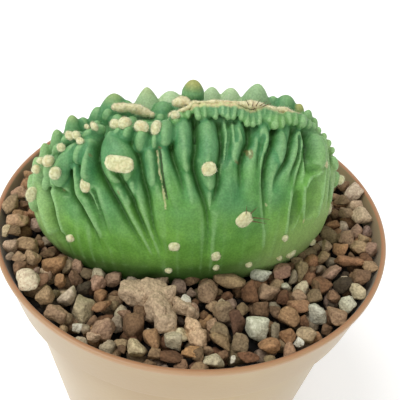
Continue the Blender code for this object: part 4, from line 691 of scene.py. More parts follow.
def build_pot():
    """The thin plastic pot, with soft moulded edges."""
    step = POT_HEIGHT - COLLAR_HEIGHT
    floor_top = FLOOR_LIFT + WALL
    lip_foot = POT_HEIGHT - LIP_HEIGHT
    profile = [
        (0, floor_top),
        (wall_radius(floor_top, WALL), floor_top),
        (wall_radius(step - WALL, WALL), step),
        (wall_radius(step + WALL, WALL), step + LEDGE_RISE),
        (wall_radius(POT_HEIGHT, WALL), POT_HEIGHT),
        (LIP_RADIUS, POT_HEIGHT),
        (LIP_RADIUS, lip_foot),
        (wall_radius(lip_foot, 0), lip_foot),
        (wall_radius(step, 0), step),
        (BODY_TOP_RADIUS, step),
        (BODY_FOOT_RADIUS, 0),
        (BODY_FOOT_RADIUS - FOOT_RING_WIDTH, 0),
        (BODY_FOOT_RADIUS - FOOT_RING_WIDTH - 0.0008, FLOOR_LIFT),
        (0, FLOOR_LIFT),
    ]
    pot = turned("pot_shell", rounded(profile, 0.0006), POT_STEPS)
    form = bmesh.new()
    for i in range(HOLE_COUNT):
        angle = math.tau * (i + 0.5) / HOLE_COUNT
        spot = (HOLE_RING_RADIUS * math.cos(angle), HOLE_RING_RADIUS * math.sin(angle), FLOOR_LIFT + WALL / 2)
        bmesh.ops.create_cone(form, cap_ends=True, segments=24, radius1=HOLE_RADIUS, radius2=HOLE_RADIUS,
                              depth=0.01, matrix=Matrix.Translation(spot))
    cutter_mesh = bpy.data.meshes.new("holes")
    form.to_mesh(cutter_mesh)
    form.free()
    cutter = add_object("holes", cutter_mesh)
    cut = pot.modifiers.new("cut", "BOOLEAN")
    cut.operation = "DIFFERENCE"
    cut.solver = "EXACT"
    cut.object = cutter
    apply_modifiers(pot)
    bpy.data.objects.remove(cutter, do_unlink=True)
    pot.data.shade_smooth()
    pot.data.set_sharp_from_angle(angle=math.radians(40))
    points = read_values(pot.data.vertices, "co", 3)
    reach = np.hypot(points[:, 0], points[:, 1])
    middle = np.array([wall_radius(z, WALL / 2) for z in points[:, 2]])
    write_values(pot, "inside", (reach < middle).astype(float))
    wall = np.array([wall_radius(z, WALL) for z in points[:, 2]])
    write_values(pot, "lip", ((points[:, 2] > lip_foot - 0.0001) & (reach > wall + 0.00005)).astype(float))
    write_values(pot, "lip_edge", np.clip((reach - LIP_RADIUS + WALL) / WALL, 0, 1))
    paint = Paint("pot_plastic", Roughness=0.42, Subsurface_Weight=0.12, Sheen_Weight=0.25,
                  Sheen_Roughness=0.5, Subsurface_Radius=(0.004, 0.002, 0.001))
    cloudy = paint.noise(22, 3)
    outer = paint.blend(cloudy, 0.35, 0.7, (170, 144, 94), (160, 131, 82))
    inner = paint.blend(cloudy, 0.35, 0.7, (152, 134, 98), (142, 122, 88))
    rim = paint.mix(paint.attribute("lip_edge"), srgb((164, 110, 72)), srgb((180, 146, 106)))
    rim = paint.mix(paint.math("MULTIPLY", paint.noise(60, 4), 0.3), rim, srgb((150, 100, 66)))
    walls = paint.mix(paint.attribute("inside"), outer, inner)
    paint.colour(paint.mix(paint.attribute("lip"), walls, rim))
    paint.bump(paint.noise(900, 2), 0.15, 0.0002)
    put(pot, paint, "pot_plastic", "pot")


def read_values(items, key, width, kind=float):
    """What a mesh keeps for its points, edges or triangles, a row for each."""
    values = np.empty(len(items) * width, kind)
    items.foreach_get(key, values)
    return values.reshape(-1, width)


def write_values(thing, name, values):
    """Keep a number for each point of a mesh."""
    kept = thing.data.attributes.new(name, "FLOAT", "POINT")
    kept.data.foreach_set("value", np.asarray(values, np.float32))


def write_colours(thing, name, colours):
    """Keep a colour for each point of a mesh."""
    kept = thing.data.attributes.new(name, "FLOAT_COLOR", "POINT")
    full = np.concatenate([colours, np.ones((len(colours), 1))], -1)
    kept.data.foreach_set("color", full.astype(np.float32).ravel())


def growing_line(along):
    """The crest's growing line in the plant frame, from -1 at its left end to 1 at its right end."""
    along = np.clip(along, -1, 1)
    left = along < 0
    end = np.where(left, CREST_LEFT_END, CREST_RIGHT_END)
    bulge = np.where(left, *CREST_BULGES)
    power = np.where(left, *CREST_POWERS)
    x = np.where(left, CREST_LEFT, CREST_RIGHT) * along
    z = end + (CREST_TOP - end) * (1 - np.abs(along) ** bulge) ** power
    return np.stack([x, np.sin(2.2 * along) + 0.5, z], -1)


def flank(angle, rise):
    """Smooth body: the angle is -pi at the left, -pi/2 in front, 0 at the right, and rise is 0 at the foot."""
    angle, rise = np.broadcast_arrays(np.asarray(angle, float), np.asarray(rise, float))
    c, s = np.cos(angle), np.sin(angle)
    top = growing_line(c)
    foot = np.stack([FOOT_SHIFT + FOOT_HALF_LENGTH * c, FOOT_HALF_THICKNESS * s, 0 * c + FOOT_LEVEL], -1)
    belly_x = BELLY_SHIFT + BELLY_HALF_LENGTH * c
    belly_y = BELLY_HALF_THICKNESS * s
    low = np.stack([foot[..., 0] + LOW_SWELL[0] * (belly_x - foot[..., 0]),
                    foot[..., 1] + LOW_SWELL[1] * (belly_y - foot[..., 1]), 0.45 * top[..., 2]], -1)
    full = np.where(s < 0, FRONT_SWELL, BACK_SWELL)
    high = np.stack([top[..., 0] + HIGH_SWELL * (belly_x - top[..., 0]),
                     top[..., 1] + full * (belly_y - top[..., 1]), top[..., 2]], -1)
    t = rise[..., None]
    return foot * (1 - t) ** 3 + 3 * low * t * (1 - t) ** 2 + 3 * high * t**2 * (1 - t) + top * t**3


def girth_table():
    """Distance along the belly for each angle, zero in the middle of the front."""
    angles = np.linspace(-math.pi, math.pi, 2001)
    pace = np.hypot(BELLY_HALF_LENGTH * np.sin(angles), BELLY_HALF_THICKNESS * np.cos(angles))
    length = np.concatenate([[0], np.cumsum(0.5 * (pace[1:] + pace[:-1]) * np.diff(angles))])
    return angles, length - np.interp(-math.pi / 2, angles, length)


ANGLES, LENGTHS = girth_table()
GIRTH = LENGTHS[-1] - LENGTHS[0]


def angle_of(around):
    """Angle on the body for a distance along the belly."""
    around = (np.asarray(around, float) - LENGTHS[0]) % GIRTH + LENGTHS[0]
    return np.interp(around, LENGTHS, ANGLES)


def smooth_path(points, steps=4):
    """Points along a smooth curve through the given ones."""
    p = np.asarray(points, float)
    p = np.vstack([2 * p[0] - p[1], p, 2 * p[-1] - p[-2]])
    out = []
    for a, b, c, d in zip(p[:-3], p[1:-2], p[2:-1], p[3:]):
        for f in np.arange(steps) / steps:
            out.append(0.5 * (2 * b + (c - a) * f + (2 * a - 5 * b + 4 * c - d) * f**2
                              + (3 * b - a - 3 * c + d) * f**3))
    out.append(p[-2])
    return np.array(out)


def back_creases():
    """Creases of the hidden side, spaced by a seeded rule."""
    draw = random.Random(BACK_SEED)
    half = GIRTH / 4
    pace = 2 * half / BACK_CREASES
    made = []
    for i in range(BACK_CREASES):
        start = half + pace * (i + 0.5 + draw.uniform(-0.25, 0.25))
        lean = 0.16 * (start - 2 * half) / half
        foot = draw.choice((8, 12, 18, 26))
        path = [(start, 49), (start - lean * 12 + draw.uniform(-1, 1), 40), (start - lean * 30, foot)]
        made.append((draw.uniform(2.0, 3.4), draw.uniform(0.8, 1.2), path))
    return made


def round_from(around, place):
    """The short way round the belly from a place."""
    return (around - place + GIRTH / 2) % GIRTH - GIRTH / 2


def off_path(around, up, path):
    """For each piece of a path on the skin: the distance from it, and the place along the whole path."""
    for i, (a, b) in enumerate(zip(path[:-1], path[1:])):
        run = b - a
        off = round_from(around, a[0])
        share = np.clip((off * run[0] + (up - a[1]) * run[1]) / (run @ run), 0, 1)
        away = np.hypot(off - share * run[0], up - a[1] - share * run[1])
        yield away, (i + share) / (len(path) - 1)


def sunk_by_creases(around, up):
    """How deep the creases between the ribs sink the skin, in millimetres."""
    sunk = np.zeros_like(around)
    for depth, width, points in CREASES + back_creases():
        for away, place in off_path(around, up, smooth_path(points)):
            fade = np.clip((1 - place) / 0.45, 0, 1) ** 0.8
            sunk = np.maximum(sunk, depth * fade * np.exp(-away / width))
    return sunk


def raised_by_ridges(around, up):
    """How high the pale raised lines stand, in millimetres."""
    raised = np.zeros_like(around)
    for height, width, points in RIDGES:
        for away, place in off_path(around, up, smooth_path(points)):
            ends = np.clip(np.minimum(place, 1 - place) / 0.12, 0.25, 1)
            raised = np.maximum(raised, height * ends * np.exp(-(away / width) ** 2))
    return raised


def marked(around, up, kind):
    """How strong the marks of one kind are at places on the skin, 0..1."""
    strength = np.zeros_like(around)
    for name, width, points in MARKS:
        if name == kind:
            for away, _ in off_path(around, up, np.array(points, float)):
                strength = np.maximum(strength, np.exp(-(away / width) ** 2))
    return strength


def relief(around, up):
    """How far ribs, creases, ridges and swellings put the skin out from the smooth body, in millimetres."""
    raised = raised_by_ridges(around, up)
    for place, height, half_width, half_height, lift in SWELLINGS:
        off = round_from(around, place)
        inside = np.clip(1 - (off / half_width) ** 2 - ((up - height) / half_height) ** 2, 0, 1)
        raised += lift * np.sqrt(inside)
    ends = np.clip(up / 8, 0, 1) * np.clip((FLANK - up) / 4, 0, 1)
    low = np.clip(up / 5, 0, 1) * np.clip((27 - up) / 10, 0, 1)
    uneven = 0.5 + 0.5 * np.sin(around / 2.9 + 2 * np.sin(around / 9.1))
    raised += FOLD_LIFT * low * uneven * np.sin(math.tau * around / FOLD_PACE + 2.6 * np.sin(around / 4.3))
    return (SKIN_LIFT + raised - sunk_by_creases(around, up)) * ends


def skin(around, up):
    """A point of the ribbed skin and its way out, in the plant frame."""
    step = 0.05
    here = flank(angle_of(around), up / FLANK)
    aside = flank(angle_of(around + step), up / FLANK) - flank(angle_of(around - step), up / FLANK)
    above = flank(angle_of(around), np.minimum(up + step, FLANK) / FLANK)
    above = above - flank(angle_of(around), np.maximum(up - step, 0) / FLANK)
    out = np.cross(aside, above)
    out /= np.maximum(np.linalg.norm(out, axis=-1, keepdims=True), 1e-9)
    spot = here + out * relief(around, up)[..., None]
    left = np.clip((-3 - spot[..., 0]) / 3.5, 0, 1) * np.clip((spot[..., 0] + 26) / 4, 0, 1)
    dip = np.clip((spot[..., 1] + 2.0 + 4.0 * left) / 2.5, 0, 1) * np.clip((spot[..., 2] - 12) / 12, 0, 1)
    spot[..., 2] -= CREST_DIP * dip * dip * (3 - 2 * dip)
    return spot, out


TURN = np.array([[math.cos(PLANT_TURN), -math.sin(PLANT_TURN), 0],
                 [math.sin(PLANT_TURN), math.cos(PLANT_TURN), 0], [0, 0, 1]])


def to_world(points):
    """From the plant frame, in millimetres, to the part's frame, in metres."""
    return np.asarray(PLANT_AT) + MM * np.asarray(points, float) @ TURN.T


def unit(way):
    """The same way with length 1."""
    way = np.asarray(way, float)
    return way / np.linalg.norm(way)


def smooth_frame(around, up):
    """As skin_frame, with the point where the skin would lie without creases and swellings."""
    spot, axes = skin_frame(around, up)
    lift = relief(np.array([float(around)]), np.array([float(up)]))[0] - SKIN_LIFT
    return spot - axes[2] * lift * MM, axes


def skin_frame(around, up):
    """Point and axes (side, above, out) on the skin in the part's frame."""
    spot, out = skin(np.array([float(around)]), np.array([float(up)]))
    out = unit(TURN @ out[0])
    side = unit(np.cross((0, 0, 1), out))
    return to_world(spot[0]), np.array([side, np.cross(out, side), out])


def spun(axes, degrees):
    """Axes turned about their last one."""
    c, s = math.cos(math.radians(degrees)), math.sin(math.radians(degrees))
    return np.array([c * axes[0] + s * axes[1], -s * axes[0] + c * axes[1], axes[2]])


def knob(spot, axes, sizes, point):
    """An ellipsoid with its sizes along three axes, whose outer end is narrowed by point."""
    ways, faces = ball(4)
    slim = 1 - point * np.maximum(ways[:, 2:], 0)
    local = ways * np.array(sizes) * MM
    local[:, :2] *= slim
    return spot + local @ axes, faces


def body_parts():
    """Loft of the ribbed body with its neck, and the value of each point."""
    half = GIRTH / 4
    front = np.linspace(-half, half, COLUMNS + 1)
    columns = np.concatenate([front, 2 * half - front[-2:0:-1]])
    heights = np.linspace(0, FLANK, ROWS + 1)
    around, up = np.meshgrid(columns, heights, indexing="ij")
    points, _ = skin(around, up)
    world = to_world(points)
    count = len(columns)
    middle = to_world((FOOT_SHIFT, 0, -NECK_DEPTH))
    neck = middle + NECK_SCALE * (world[:, 0] - middle)
    neck[:, 2] = middle[2]
    grid = np.concatenate([neck[:, None], world], 1)
    rows = ROWS + 2
    index = np.arange(count * rows).reshape(count, rows)
    after = np.roll(index, -1, axis=0)
    quads = np.stack([index[:, :-1], after[:, :-1], after[:, 1:], index[:, 1:]], -1).reshape(-1, 4)
    tri = np.concatenate([quads[:, [0, 1, 2]], quads[:, [0, 2, 3]]])
    floor = np.stack([np.full(count, count * rows), after[:, 0], index[:, 0]], -1)
    flat = np.concatenate([grid.reshape(-1, 3), middle[None]])
    return flat, np.concatenate([tri, floor]), world.reshape(-1, 3), up.ravel(), around.ravel()


def cone(tip, axes, half_width, shoulder, sharpness):
    """A tall tubercle that widens from its tip down to its shoulder, and whose root goes on into the skin."""
    ways, faces = ball(4)
    height = shoulder + TALL_ROOT
    down = (1 - ways[:, 2:]) / 2 * height
    flat = ways[:, :2] / np.maximum(np.linalg.norm(ways[:, :2], axis=1, keepdims=True), 1e-9)
    reach = half_width * np.minimum(1, down / shoulder) ** sharpness * np.minimum(1, np.sqrt(height - down))
    local = np.concatenate([flat * reach, -down], -1) * MM
    return tip + local @ axes, faces


def loft(path, widths, depths, across, sides=16):
    """A closed form through oval sections along a path, and each point's place along it."""
    turn = np.linspace(0, math.tau, sides, endpoint=False)
    points, along = [path[:1]], [0.0]
    for i in range(1, len(path) - 1):
        run = unit(path[i + 1] - path[i - 1])
        side = unit(across - run * (across @ run))
        other = np.cross(run, side)
        ring = np.outer(np.cos(turn) * widths[i], side) + np.outer(np.sin(turn) * depths[i], other)
        points.append(path[i] + ring * MM)
        along += [i / (len(path) - 1)] * sides
    points.append(path[-1:])
    along.append(1.0)
    last = (len(path) - 2) * sides + 1
    faces = []
    for k in range(sides):
        after = (k + 1) % sides
        faces += [(0, 1 + after, 1 + k), (last, last - sides + k, last - sides + after)]
        for i in range(len(path) - 3):
            low, high = 1 + i * sides, 1 + (i + 1) * sides
            faces += [(low + k, low + after, high + after), (low + k, high + after, high + k)]
    return np.concatenate(points), np.array(faces), np.array(along)


def finger(root, tip, root_radius, tip_radius, out):
    """A pleat of skin that comes over the rim of the crest and narrows to its round tip."""
    behind = root + TURN @ np.array([0, 2.2, -2.4]) * MM
    middle = 0.5 * (root + tip) + (0.35 * root_radius * out + np.array([0, 0, 0.2])) * MM
    path = smooth_path([behind, root, middle, tip], 6)
    share = np.linspace(0, 1, len(path))
    radii = (root_radius, root_radius, 0.5 * (root_radius + tip_radius), tip_radius)
    radius = np.interp(share, (0, 0.33, 0.66, 1), radii)
    step = np.linalg.norm(np.diff(path, axis=0), axis=1)
    gone = np.concatenate([[0], np.cumsum(step)]) / MM
    ends = np.minimum(gone, gone[-1] - gone) / np.maximum(radius, 0.1)
    radius = radius * np.sqrt(np.clip(1 - (1 - np.clip(ends, 0, 1)) ** 2, 0, 1))
    across = TURN @ np.array([1.0, 0, 0])
    return loft(path, radius * 0.94, radius * 1.15, across)


def tubercle_parts():
    """Tubercles and fingers of the crest, each with how pale, how yellow and how cream its points are."""
    made = []
    height = ball(4)[0][:, 2]
    end = np.clip((height - 0.35) / 0.6, 0, 1)
    for around, up, half_width, half_height, stand in TUBERCLES:
        spot, axes = smooth_frame(around, up)
        part = knob(spot, axes, (half_width, half_height, stand), 0.12)
        made.append((part, 0 * height, 0 * height, 0 * height))
    for root, (around, up), stand, root_radius, tip_radius in FINGERS:
        spot, axes = smooth_frame(around, up)
        tip = spot + axes[2] * (stand - tip_radius * 0.5) * MM
        points, faces, along = finger(to_world(root), tip, root_radius, tip_radius, axes[2])
        cream = np.clip(1.5 - np.abs(along - 0.36) / 0.2, 0, 1)
        cream *= np.clip((points[:, 2] - 0.1445) / 0.001 + 1, 0.55, 1)
        made.append(((points, faces), 0.2 + 0 * along, 0 * along, cream))
    for x, y, tip, half_width, height_below, sharpness, pale, yellow in TALL_TUBERCLES:
        out = unit(TURN @ np.array([0.15 * x / 8, 0.9, 6]))
        side = unit(np.cross((0, 1, 0), out))
        axes = np.array([side, np.cross(out, side), out])
        part = cone(to_world((x, y, tip)), axes, half_width, height_below, sharpness)
        made.append((part, pale + 0 * height, yellow * end, 0 * height))
    draw = random.Random(BACK_SEED + 1)
    half = GIRTH / 4
    for i in range(BACK_TUBERCLES):
        around = half + 2 * half * (i + 0.5 + draw.uniform(-0.2, 0.2)) / BACK_TUBERCLES
        spot, axes = skin_frame(around, draw.uniform(43, 47))
        wide = draw.uniform(2.0, 3.0)
        part = knob(spot, axes, (wide, wide * 1.4, draw.uniform(2.4, 3.2)), 0.12)
        made.append((part, 0.1 + 0 * height, 0.3 * end, 0 * height))
    return made


def neighbour_mean(values, edges, rounds):
    """Values of a mesh's points, averaged with their neighbours again and again."""
    count = len(values)
    links = np.bincount(edges.ravel(), minlength=count).astype(float)
    values = values.reshape(count, -1).astype(float)
    for _ in range(rounds):
        total = np.stack([np.bincount(edges[:, 0], column[edges[:, 1]], count)
                          + np.bincount(edges[:, 1], column[edges[:, 0]], count) for column in values.T], -1)
        values = 0.5 * values + 0.5 * total / links[:, None]
    return values


def build_cactus():
    """The crested body with its ribs and tubercles as one fine skin, painted by height, relief and tip, with
    painted shade in its crest valley, broad hollows and creases and a painted contact shadow at its foot.
    """
    points, faces, seeds, up, around = body_parts()
    knobs = tubercle_parts()
    cactus = solid_of("cactus_skin", [(points, faces)] + [part for part, *_ in knobs])
    remesh(cactus, SKIN_VOXEL, 2, SKIN_FACES)
    mesh = cactus.data
    co = read_values(mesh.vertices, "co", 3)
    normals = read_values(mesh.vertices, "normal", 3)
    edges = read_values(mesh.edges, "vertices", 2, int)
    rises = [up / FLANK] + [np.full(len(part[0]), 0.62 if cream.any() else 0.84) for part, *_, cream in knobs]
    spots = np.concatenate([seeds] + [part[0] for part, *_ in knobs])
    tree = kdtree.KDTree(len(spots))
    for i, spot in enumerate(spots):
        tree.insert(spot, i)
    tree.balance()
    nearest = np.array([tree.find(spot)[1] for spot in co])
    bare = np.zeros(len(seeds))
    none = [np.zeros(len(part[0])) for part, *_ in knobs]
    # The crease depth kept here drives the painted shade along the creases
    values = {"rise": (rises, 6), "crease_shade": ([sunk_by_creases(around, up) / 3.4] + none, 1)}
    for kind, *_ in MARK_COATS:
        values[kind] = ([marked(around, up, kind)] + none, 1)
    for i, name in enumerate(("pale", "tip", "cream")):
        values[name] = ([bare] + [knob_values[i + 1] for knob_values in knobs], 6 if i < 2 else 3)
    for name, (lists, rounds) in values.items():
        write_values(cactus, name, neighbour_mean(np.concatenate(lists)[nearest], edges, rounds)[:, 0])
    fine = ((co - neighbour_mean(co, edges, 8)) * normals).sum(1) / MM
    # broad: how far each point stands out from its wide surroundings; its hollows carry painted shade through
    # the relief coat
    broad = ((co - neighbour_mean(co, edges, 60)) * normals).sum(1) / MM
    write_values(cactus, "edge", fine)
    write_values(cactus, "relief", broad)
    write_values(cactus, "along", ((co - PLANT_AT) @ TURN)[:, 0] / MM / 44)
    paint = Paint("cactus_skin", Roughness=0.56, Subsurface_Weight=0.12, Specular_IOR_Level=0.4,
                  Subsurface_Radius=(0.0012, 0.0025, 0.0008))
    rise, along = paint.attribute("rise"), paint.attribute("along")
    mottle = paint.noise(260, 4)
    # foot: painted contact shadow under the belly at its middle and left, going over to a paler foot colour at
    # its right end
    foot = paint.blend(along, 0.15, 0.6, (48, 78, 28), (146, 178, 108))
    lower = paint.blend(mottle, 0.35, 0.7, (94, 148, 54), (110, 164, 66))
    upper = paint.blend(mottle, 0.35, 0.7, (58, 120, 70), (76, 136, 86))
    patchy = paint.math("ADD", rise, paint.span(paint.noise(60, 2), 0.3, 0.7, -0.14, 0.14))
    green = paint.mix(paint.span(patchy, 0.30, 0.78), lower, upper)
    # Lay the painted contact shadow of the foot over the lowest part of the flank
    green = paint.coat(green, rise, 0.25, 0.08, 0.85, foot)
    ends = paint.math("MAXIMUM", along, paint.math("MULTIPLY", along, -1.0))
    green = paint.coat(green, ends, 0.68, 0.96, 0.62, srgb((166, 196, 128)))
    low_right = paint.math("MULTIPLY", paint.span(rise, 0.48, 0.2), paint.span(along, 0.3, 0.7))
    green = paint.mix(paint.math("MULTIPLY", low_right, 0.7), green, srgb((160, 192, 116)))
    for name, low, high, share, over in SKIN_COATS:
        green = paint.coat(green, paint.attribute(name), low, high, share, srgb(over))
    rim = paint.blend(paint.noise(700, 3), 0.45, 0.62, (208, 206, 146), (214, 186, 142))
    green = paint.coat(green, paint.attribute("cream"), 0.15, 0.8, 0.85, rim)
    for name, low, high, share, over in MARK_COATS:
        green = paint.coat(green, paint.attribute(name), low, high, share, srgb(over))
    specks = paint.mix(paint.span(paint.noise(1900, 3), 0.36, 0.66), (0.36, 0.38, 0.34), (0.68, 0.66, 0.66))
    paint.colour(paint.mix(0.4, green, specks, "OVERLAY"))
    grain = paint.math("ADD", paint.noise(1500, 3), paint.noise(420, 3))
    paint.bump(grain, 0.3, 0.0003)
    put(cactus, paint, "cactus_skin", "cactus")


def tuft(draw, spot, axes, sizes, fineness=3):
    """A lumpy pad of wool."""
    ways, faces = ball(fineness)
    lumps = 1 + 0.06 * waves(draw, ways, 5, 4) + 0.02 * waves(draw, ways, 5, 12)
    return spot + (ways * lumps[:, None] * np.array(sizes) * MM) @ axes, faces


def pad(draw, spot, axes, sizes):
    """A flat-topped pad of felt with a round edge."""
    ways, faces = ball(4)
    lumps = 1 + 0.05 * waves(draw, ways, 5, 5) + 0.03 * waves(draw, ways, 6, 12)
    flat = np.sign(ways) * np.abs(ways) ** (0.7 if sizes[0] > 3 else 0.88)
    return spot + (flat * lumps[:, None] * np.array(sizes) * MM) @ axes, faces


def hairs(draw, thing, length, radius):
    """Short tapered fibres standing on a piece of wool, as points and triangles."""
    mesh = thing.data
    mesh.calc_loop_triangles()
    tri = read_values(mesh.loop_triangles, "vertices", 3, int)
    corners = read_values(mesh.vertices, "co", 3)[tri]
    cross = np.cross(corners[:, 1] - corners[:, 0], corners[:, 2] - corners[:, 0])
    area = np.linalg.norm(cross, axis=1) / 2
    count = int(area.sum() / MM**2 * HAIRS_PER_MM2)
    rng = np.random.default_rng(draw.randrange(10**6))
    pick = rng.choice(len(tri), count, p=area / area.sum())
    a, b = rng.random((2, count))
    fold = a + b > 1
    a, b = np.where(fold, 1 - a, a), np.where(fold, 1 - b, b)
    chosen = corners[pick]
    root = chosen[:, 0] + a[:, None] * (chosen[:, 1] - chosen[:, 0])
    root = root + b[:, None] * (chosen[:, 2] - chosen[:, 0])
    way = cross[pick] / (2 * area[pick])[:, None] + rng.normal(0, 0.45, (count, 3))
    way /= np.linalg.norm(way, axis=1, keepdims=True)
    side = np.cross(way, rng.normal(0, 1, (count, 3)))
    side /= np.linalg.norm(side, axis=1, keepdims=True)
    other = np.cross(way, side)
    reach = (length * rng.uniform(0.5, 1.2, count))[:, None] * MM
    thick = radius * MM
    root = root - way * thick
    ring = [root + thick * (math.cos(k * math.tau / 3) * side + math.sin(k * math.tau / 3) * other)
            for k in range(3)]
    points = np.stack(ring + [root + way * reach], 1).reshape(-1, 3)
    base = np.arange(count)[:, None] * 4
    faces = np.concatenate([base + np.array(f) for f in ((0, 1, 3), (1, 2, 3), (2, 0, 3), (0, 2, 1))])
    return points, faces


def wool_paint(name, deep, pale, centre):
    """Cream felt, with painted shade mottled over it for the hollows between its fibres."""
    paint = Paint(name, Roughness=0.95, Sheen_Weight=0.3, Sheen_Roughness=0.6, Subsurface_Weight=0.2,
                  Subsurface_Radius=(0.0010, 0.0008, 0.0005))
    # deep is painted shade for the hollows between the fibres, spread by noise
    felt = paint.blend(paint.noise(1400, 4), 0.35, 0.65, deep, pale)
    felt = paint.coat(felt, paint.noise(320, 3), 0.5, 0.75, 0.5, srgb(centre))
    paint.colour(felt)
    paint.bump(paint.noise(2600, 3), 0.3, 0.0003)
    return paint


def build_wool():
    """The line of wool along the growing line."""
    draw = random.Random(WOOL_SEED)
    parts = []
    for points in WOOL_LINES:
        path = smooth_path(points, 12)
        gone = 1.0
        for before, (x, y, z, thick) in zip(path, path[1:]):
            gone += np.linalg.norm(np.array((x, y, z)) - before[:3])
            if gone < 0.7 * thick:
                continue
            gone = 0.0
            size = thick * draw.uniform(0.85, 1.1)
            parts.append(tuft(draw, to_world((x, y, z)), np.eye(3), (size, size, size * 0.9)))
    wool = solid_of("crest_wool_felt", parts)
    fuse(wool, WOOL_VOXEL)
    apply_modifiers(wool)
    wool.data.shade_smooth()
    paint = wool_paint("wool", *CREST_WOOL)
    put(wool, paint, "wool", "crest_wool")
    fuzz = solid_of("crest_wool_fibres", [hairs(draw, wool, *WOOL_HAIR)])
    put(fuzz, paint, "wool", "crest_wool")


def build_areoles():
    """Felt pads on the ribs and wool caps on the tubercles."""
    draw = random.Random(AREOLE_SEED)
    places = list(AREOLES)
    seeded = random.Random(BACK_SEED + 2)
    half = GIRTH / 4
    for i in range(BACK_AREOLES):
        around = half + 2 * half * (i + 0.5) / BACK_AREOLES
        size = seeded.uniform(1.2, 2.4)
        places.append((around, seeded.uniform(8, 38), size, size * seeded.uniform(0.8, 1.2), 0))
    parts = []
    for around, up, half_width, half_height, tilt in places:
        spot, axes = skin_frame(around, up)
        parts.append(pad(draw, spot, spun(axes, tilt), (half_width, half_height, 1.0)))
    for around, up, out, half_width, half_height in CAPS:
        spot, axes = smooth_frame(around, up)
        spot = spot + (out - 0.3) * axes[2] * MM
        parts.append(tuft(draw, spot, axes, (half_width, half_height, 0.5 * (half_width + half_height)), 4))
    pads = solid_of("areole_felt", parts)
    paint = wool_paint("areole_wool", *AREOLE_WOOL)
    put(pads, paint, "cactus_skin", "cactus")
    fuzz = solid_of("areole_fibres", [hairs(draw, pads, *AREOLE_HAIR)])
    put(fuzz, paint, "cactus_skin", "cactus")


def spine_part(root, way, length, thick, tip):
    """A tapered, slightly bent spine, sunk below its root."""
    sides, rings = 6, 6
    side = unit(np.cross(way, (0.3, 0.2, 1)))
    other = np.cross(way, side)
    points = []
    for j in range(rings):
        share = j / (rings - 1)
        middle = root + way * (share * (length + 0.8) - 0.8) * MM + other * 0.06 * length * share**2 * MM
        size = (thick + share * (tip - thick)) * MM
        for k in range(sides):
            turn = math.tau * k / sides
            points.append(middle + size * (math.cos(turn) * side + math.sin(turn) * other))
    faces = []
    for j in range(rings - 1):
        for k in range(sides):
            a, b = j * sides + k, j * sides + (k + 1) % sides
            faces += [(a, b, b + sides), (a, b + sides, a + sides)]
    last = (rings - 1) * sides
    faces += [(0, k + 1, k) for k in range(1, sides - 1)]
    faces += [(last, last + k, last + k + 1) for k in range(1, sides - 1)]
    return np.array(points), np.array(faces)


def about(axis, degrees, way):
    """A direction turned about an axis."""
    return np.array(Matrix.Rotation(math.radians(degrees), 3, Vector(axis)) @ Vector(way))


def build_spines():
    """The few brown spines."""
    parts = []
    for around, up, length, aside, raised in SPINES:
        root, axes = skin_frame(around, up)
        way = about(axes[0], -raised, about(axes[1], aside, axes[2]))
        parts.append(spine_part(root, unit(way), length, SPINE_WIDTH, SPINE_TIP))
    for spot, length, aside, forward in WOOL_SPINES:
        root = to_world(spot)
        way = TURN @ about((0, 1, 0), aside, about((1, 0, 0), forward, (0, 0, 1)))
        parts.append(spine_part(root, unit(way), length, WOOL_SPINE_WIDTH, SPINE_TIP))
    spines = solid_of("spines", parts)
    paint = Paint("spine", Roughness=0.5)
    paint.colour(paint.mix(paint.noise(700, 2), srgb((120, 84, 52)), srgb((70, 46, 32))))
    put(spines, paint, "cactus_skin", "cactus", "crest_wool")


def stone_part(draw, ways, faces, place, axes, sizes, facets=11, power=14):
    """A worn many-sided stone: planes round a middle, softened at their edges, with a rough face."""
    reach = np.zeros(len(ways))
    for _ in range(facets):
        aim = unit(any_way(draw))
        reach += np.maximum(ways @ aim / draw.uniform(0.62, 1.0), 0) ** power
    for aim in np.concatenate([np.eye(3), -np.eye(3)]):
        reach += np.maximum(ways @ aim, 0) ** power
    reach = reach ** (-1 / power)
    reach *= 1 + STONE_ROUGHNESS * waves(draw, ways, 5, 5) + 0.5 * STONE_ROUGHNESS * waves(draw, ways, 6, 12)
    local = ways * reach[:, None]
    span = local.max(0) - local.min(0)
    local = (local - (local.max(0) + local.min(0)) / 2) * 2 / span
    return place + (local * np.array(sizes)) @ axes, faces


def turn_axes(draw):
    """Axes turned at random."""
    way = unit(any_way(draw))
    side = unit(np.cross(way, any_way(draw)))
    return np.array([side, np.cross(way, side), way])


def in_plant(x, y, room):
    """Whether a point of the gravel's top lies under the plant, or within room of its foot."""
    c, s = math.cos(PLANT_TURN), math.sin(PLANT_TURN)
    dx, dy = x - PLANT_AT[0], y - PLANT_AT[1]
    along = (c * dx + s * dy) / MM - FOOT_SHIFT
    across = (-s * dx + c * dy) / MM
    long_axis = FOOT_HALF_LENGTH + room / MM
    short_axis = FOOT_HALF_THICKNESS + room / MM
    return (along / long_axis) ** 2 + (across / short_axis) ** 2 < 1


def eased(share):
    """A share kept within 0..1, with soft ends."""
    share = min(max(share, 0), 1)
    return share * share * (3 - 2 * share)


def bank(x, y):
    """How far the gravel is heaped up against the wall, beside the plant and behind it, in mm."""
    near = eased((math.hypot(x, y) - 43) / 11)
    return near * max(BANK_LEFT * eased((-28 - x) / 14), BANK_RIGHT * eased((x - 34) / 14),
                      BANK_BACK * eased((y - 5) / 20))


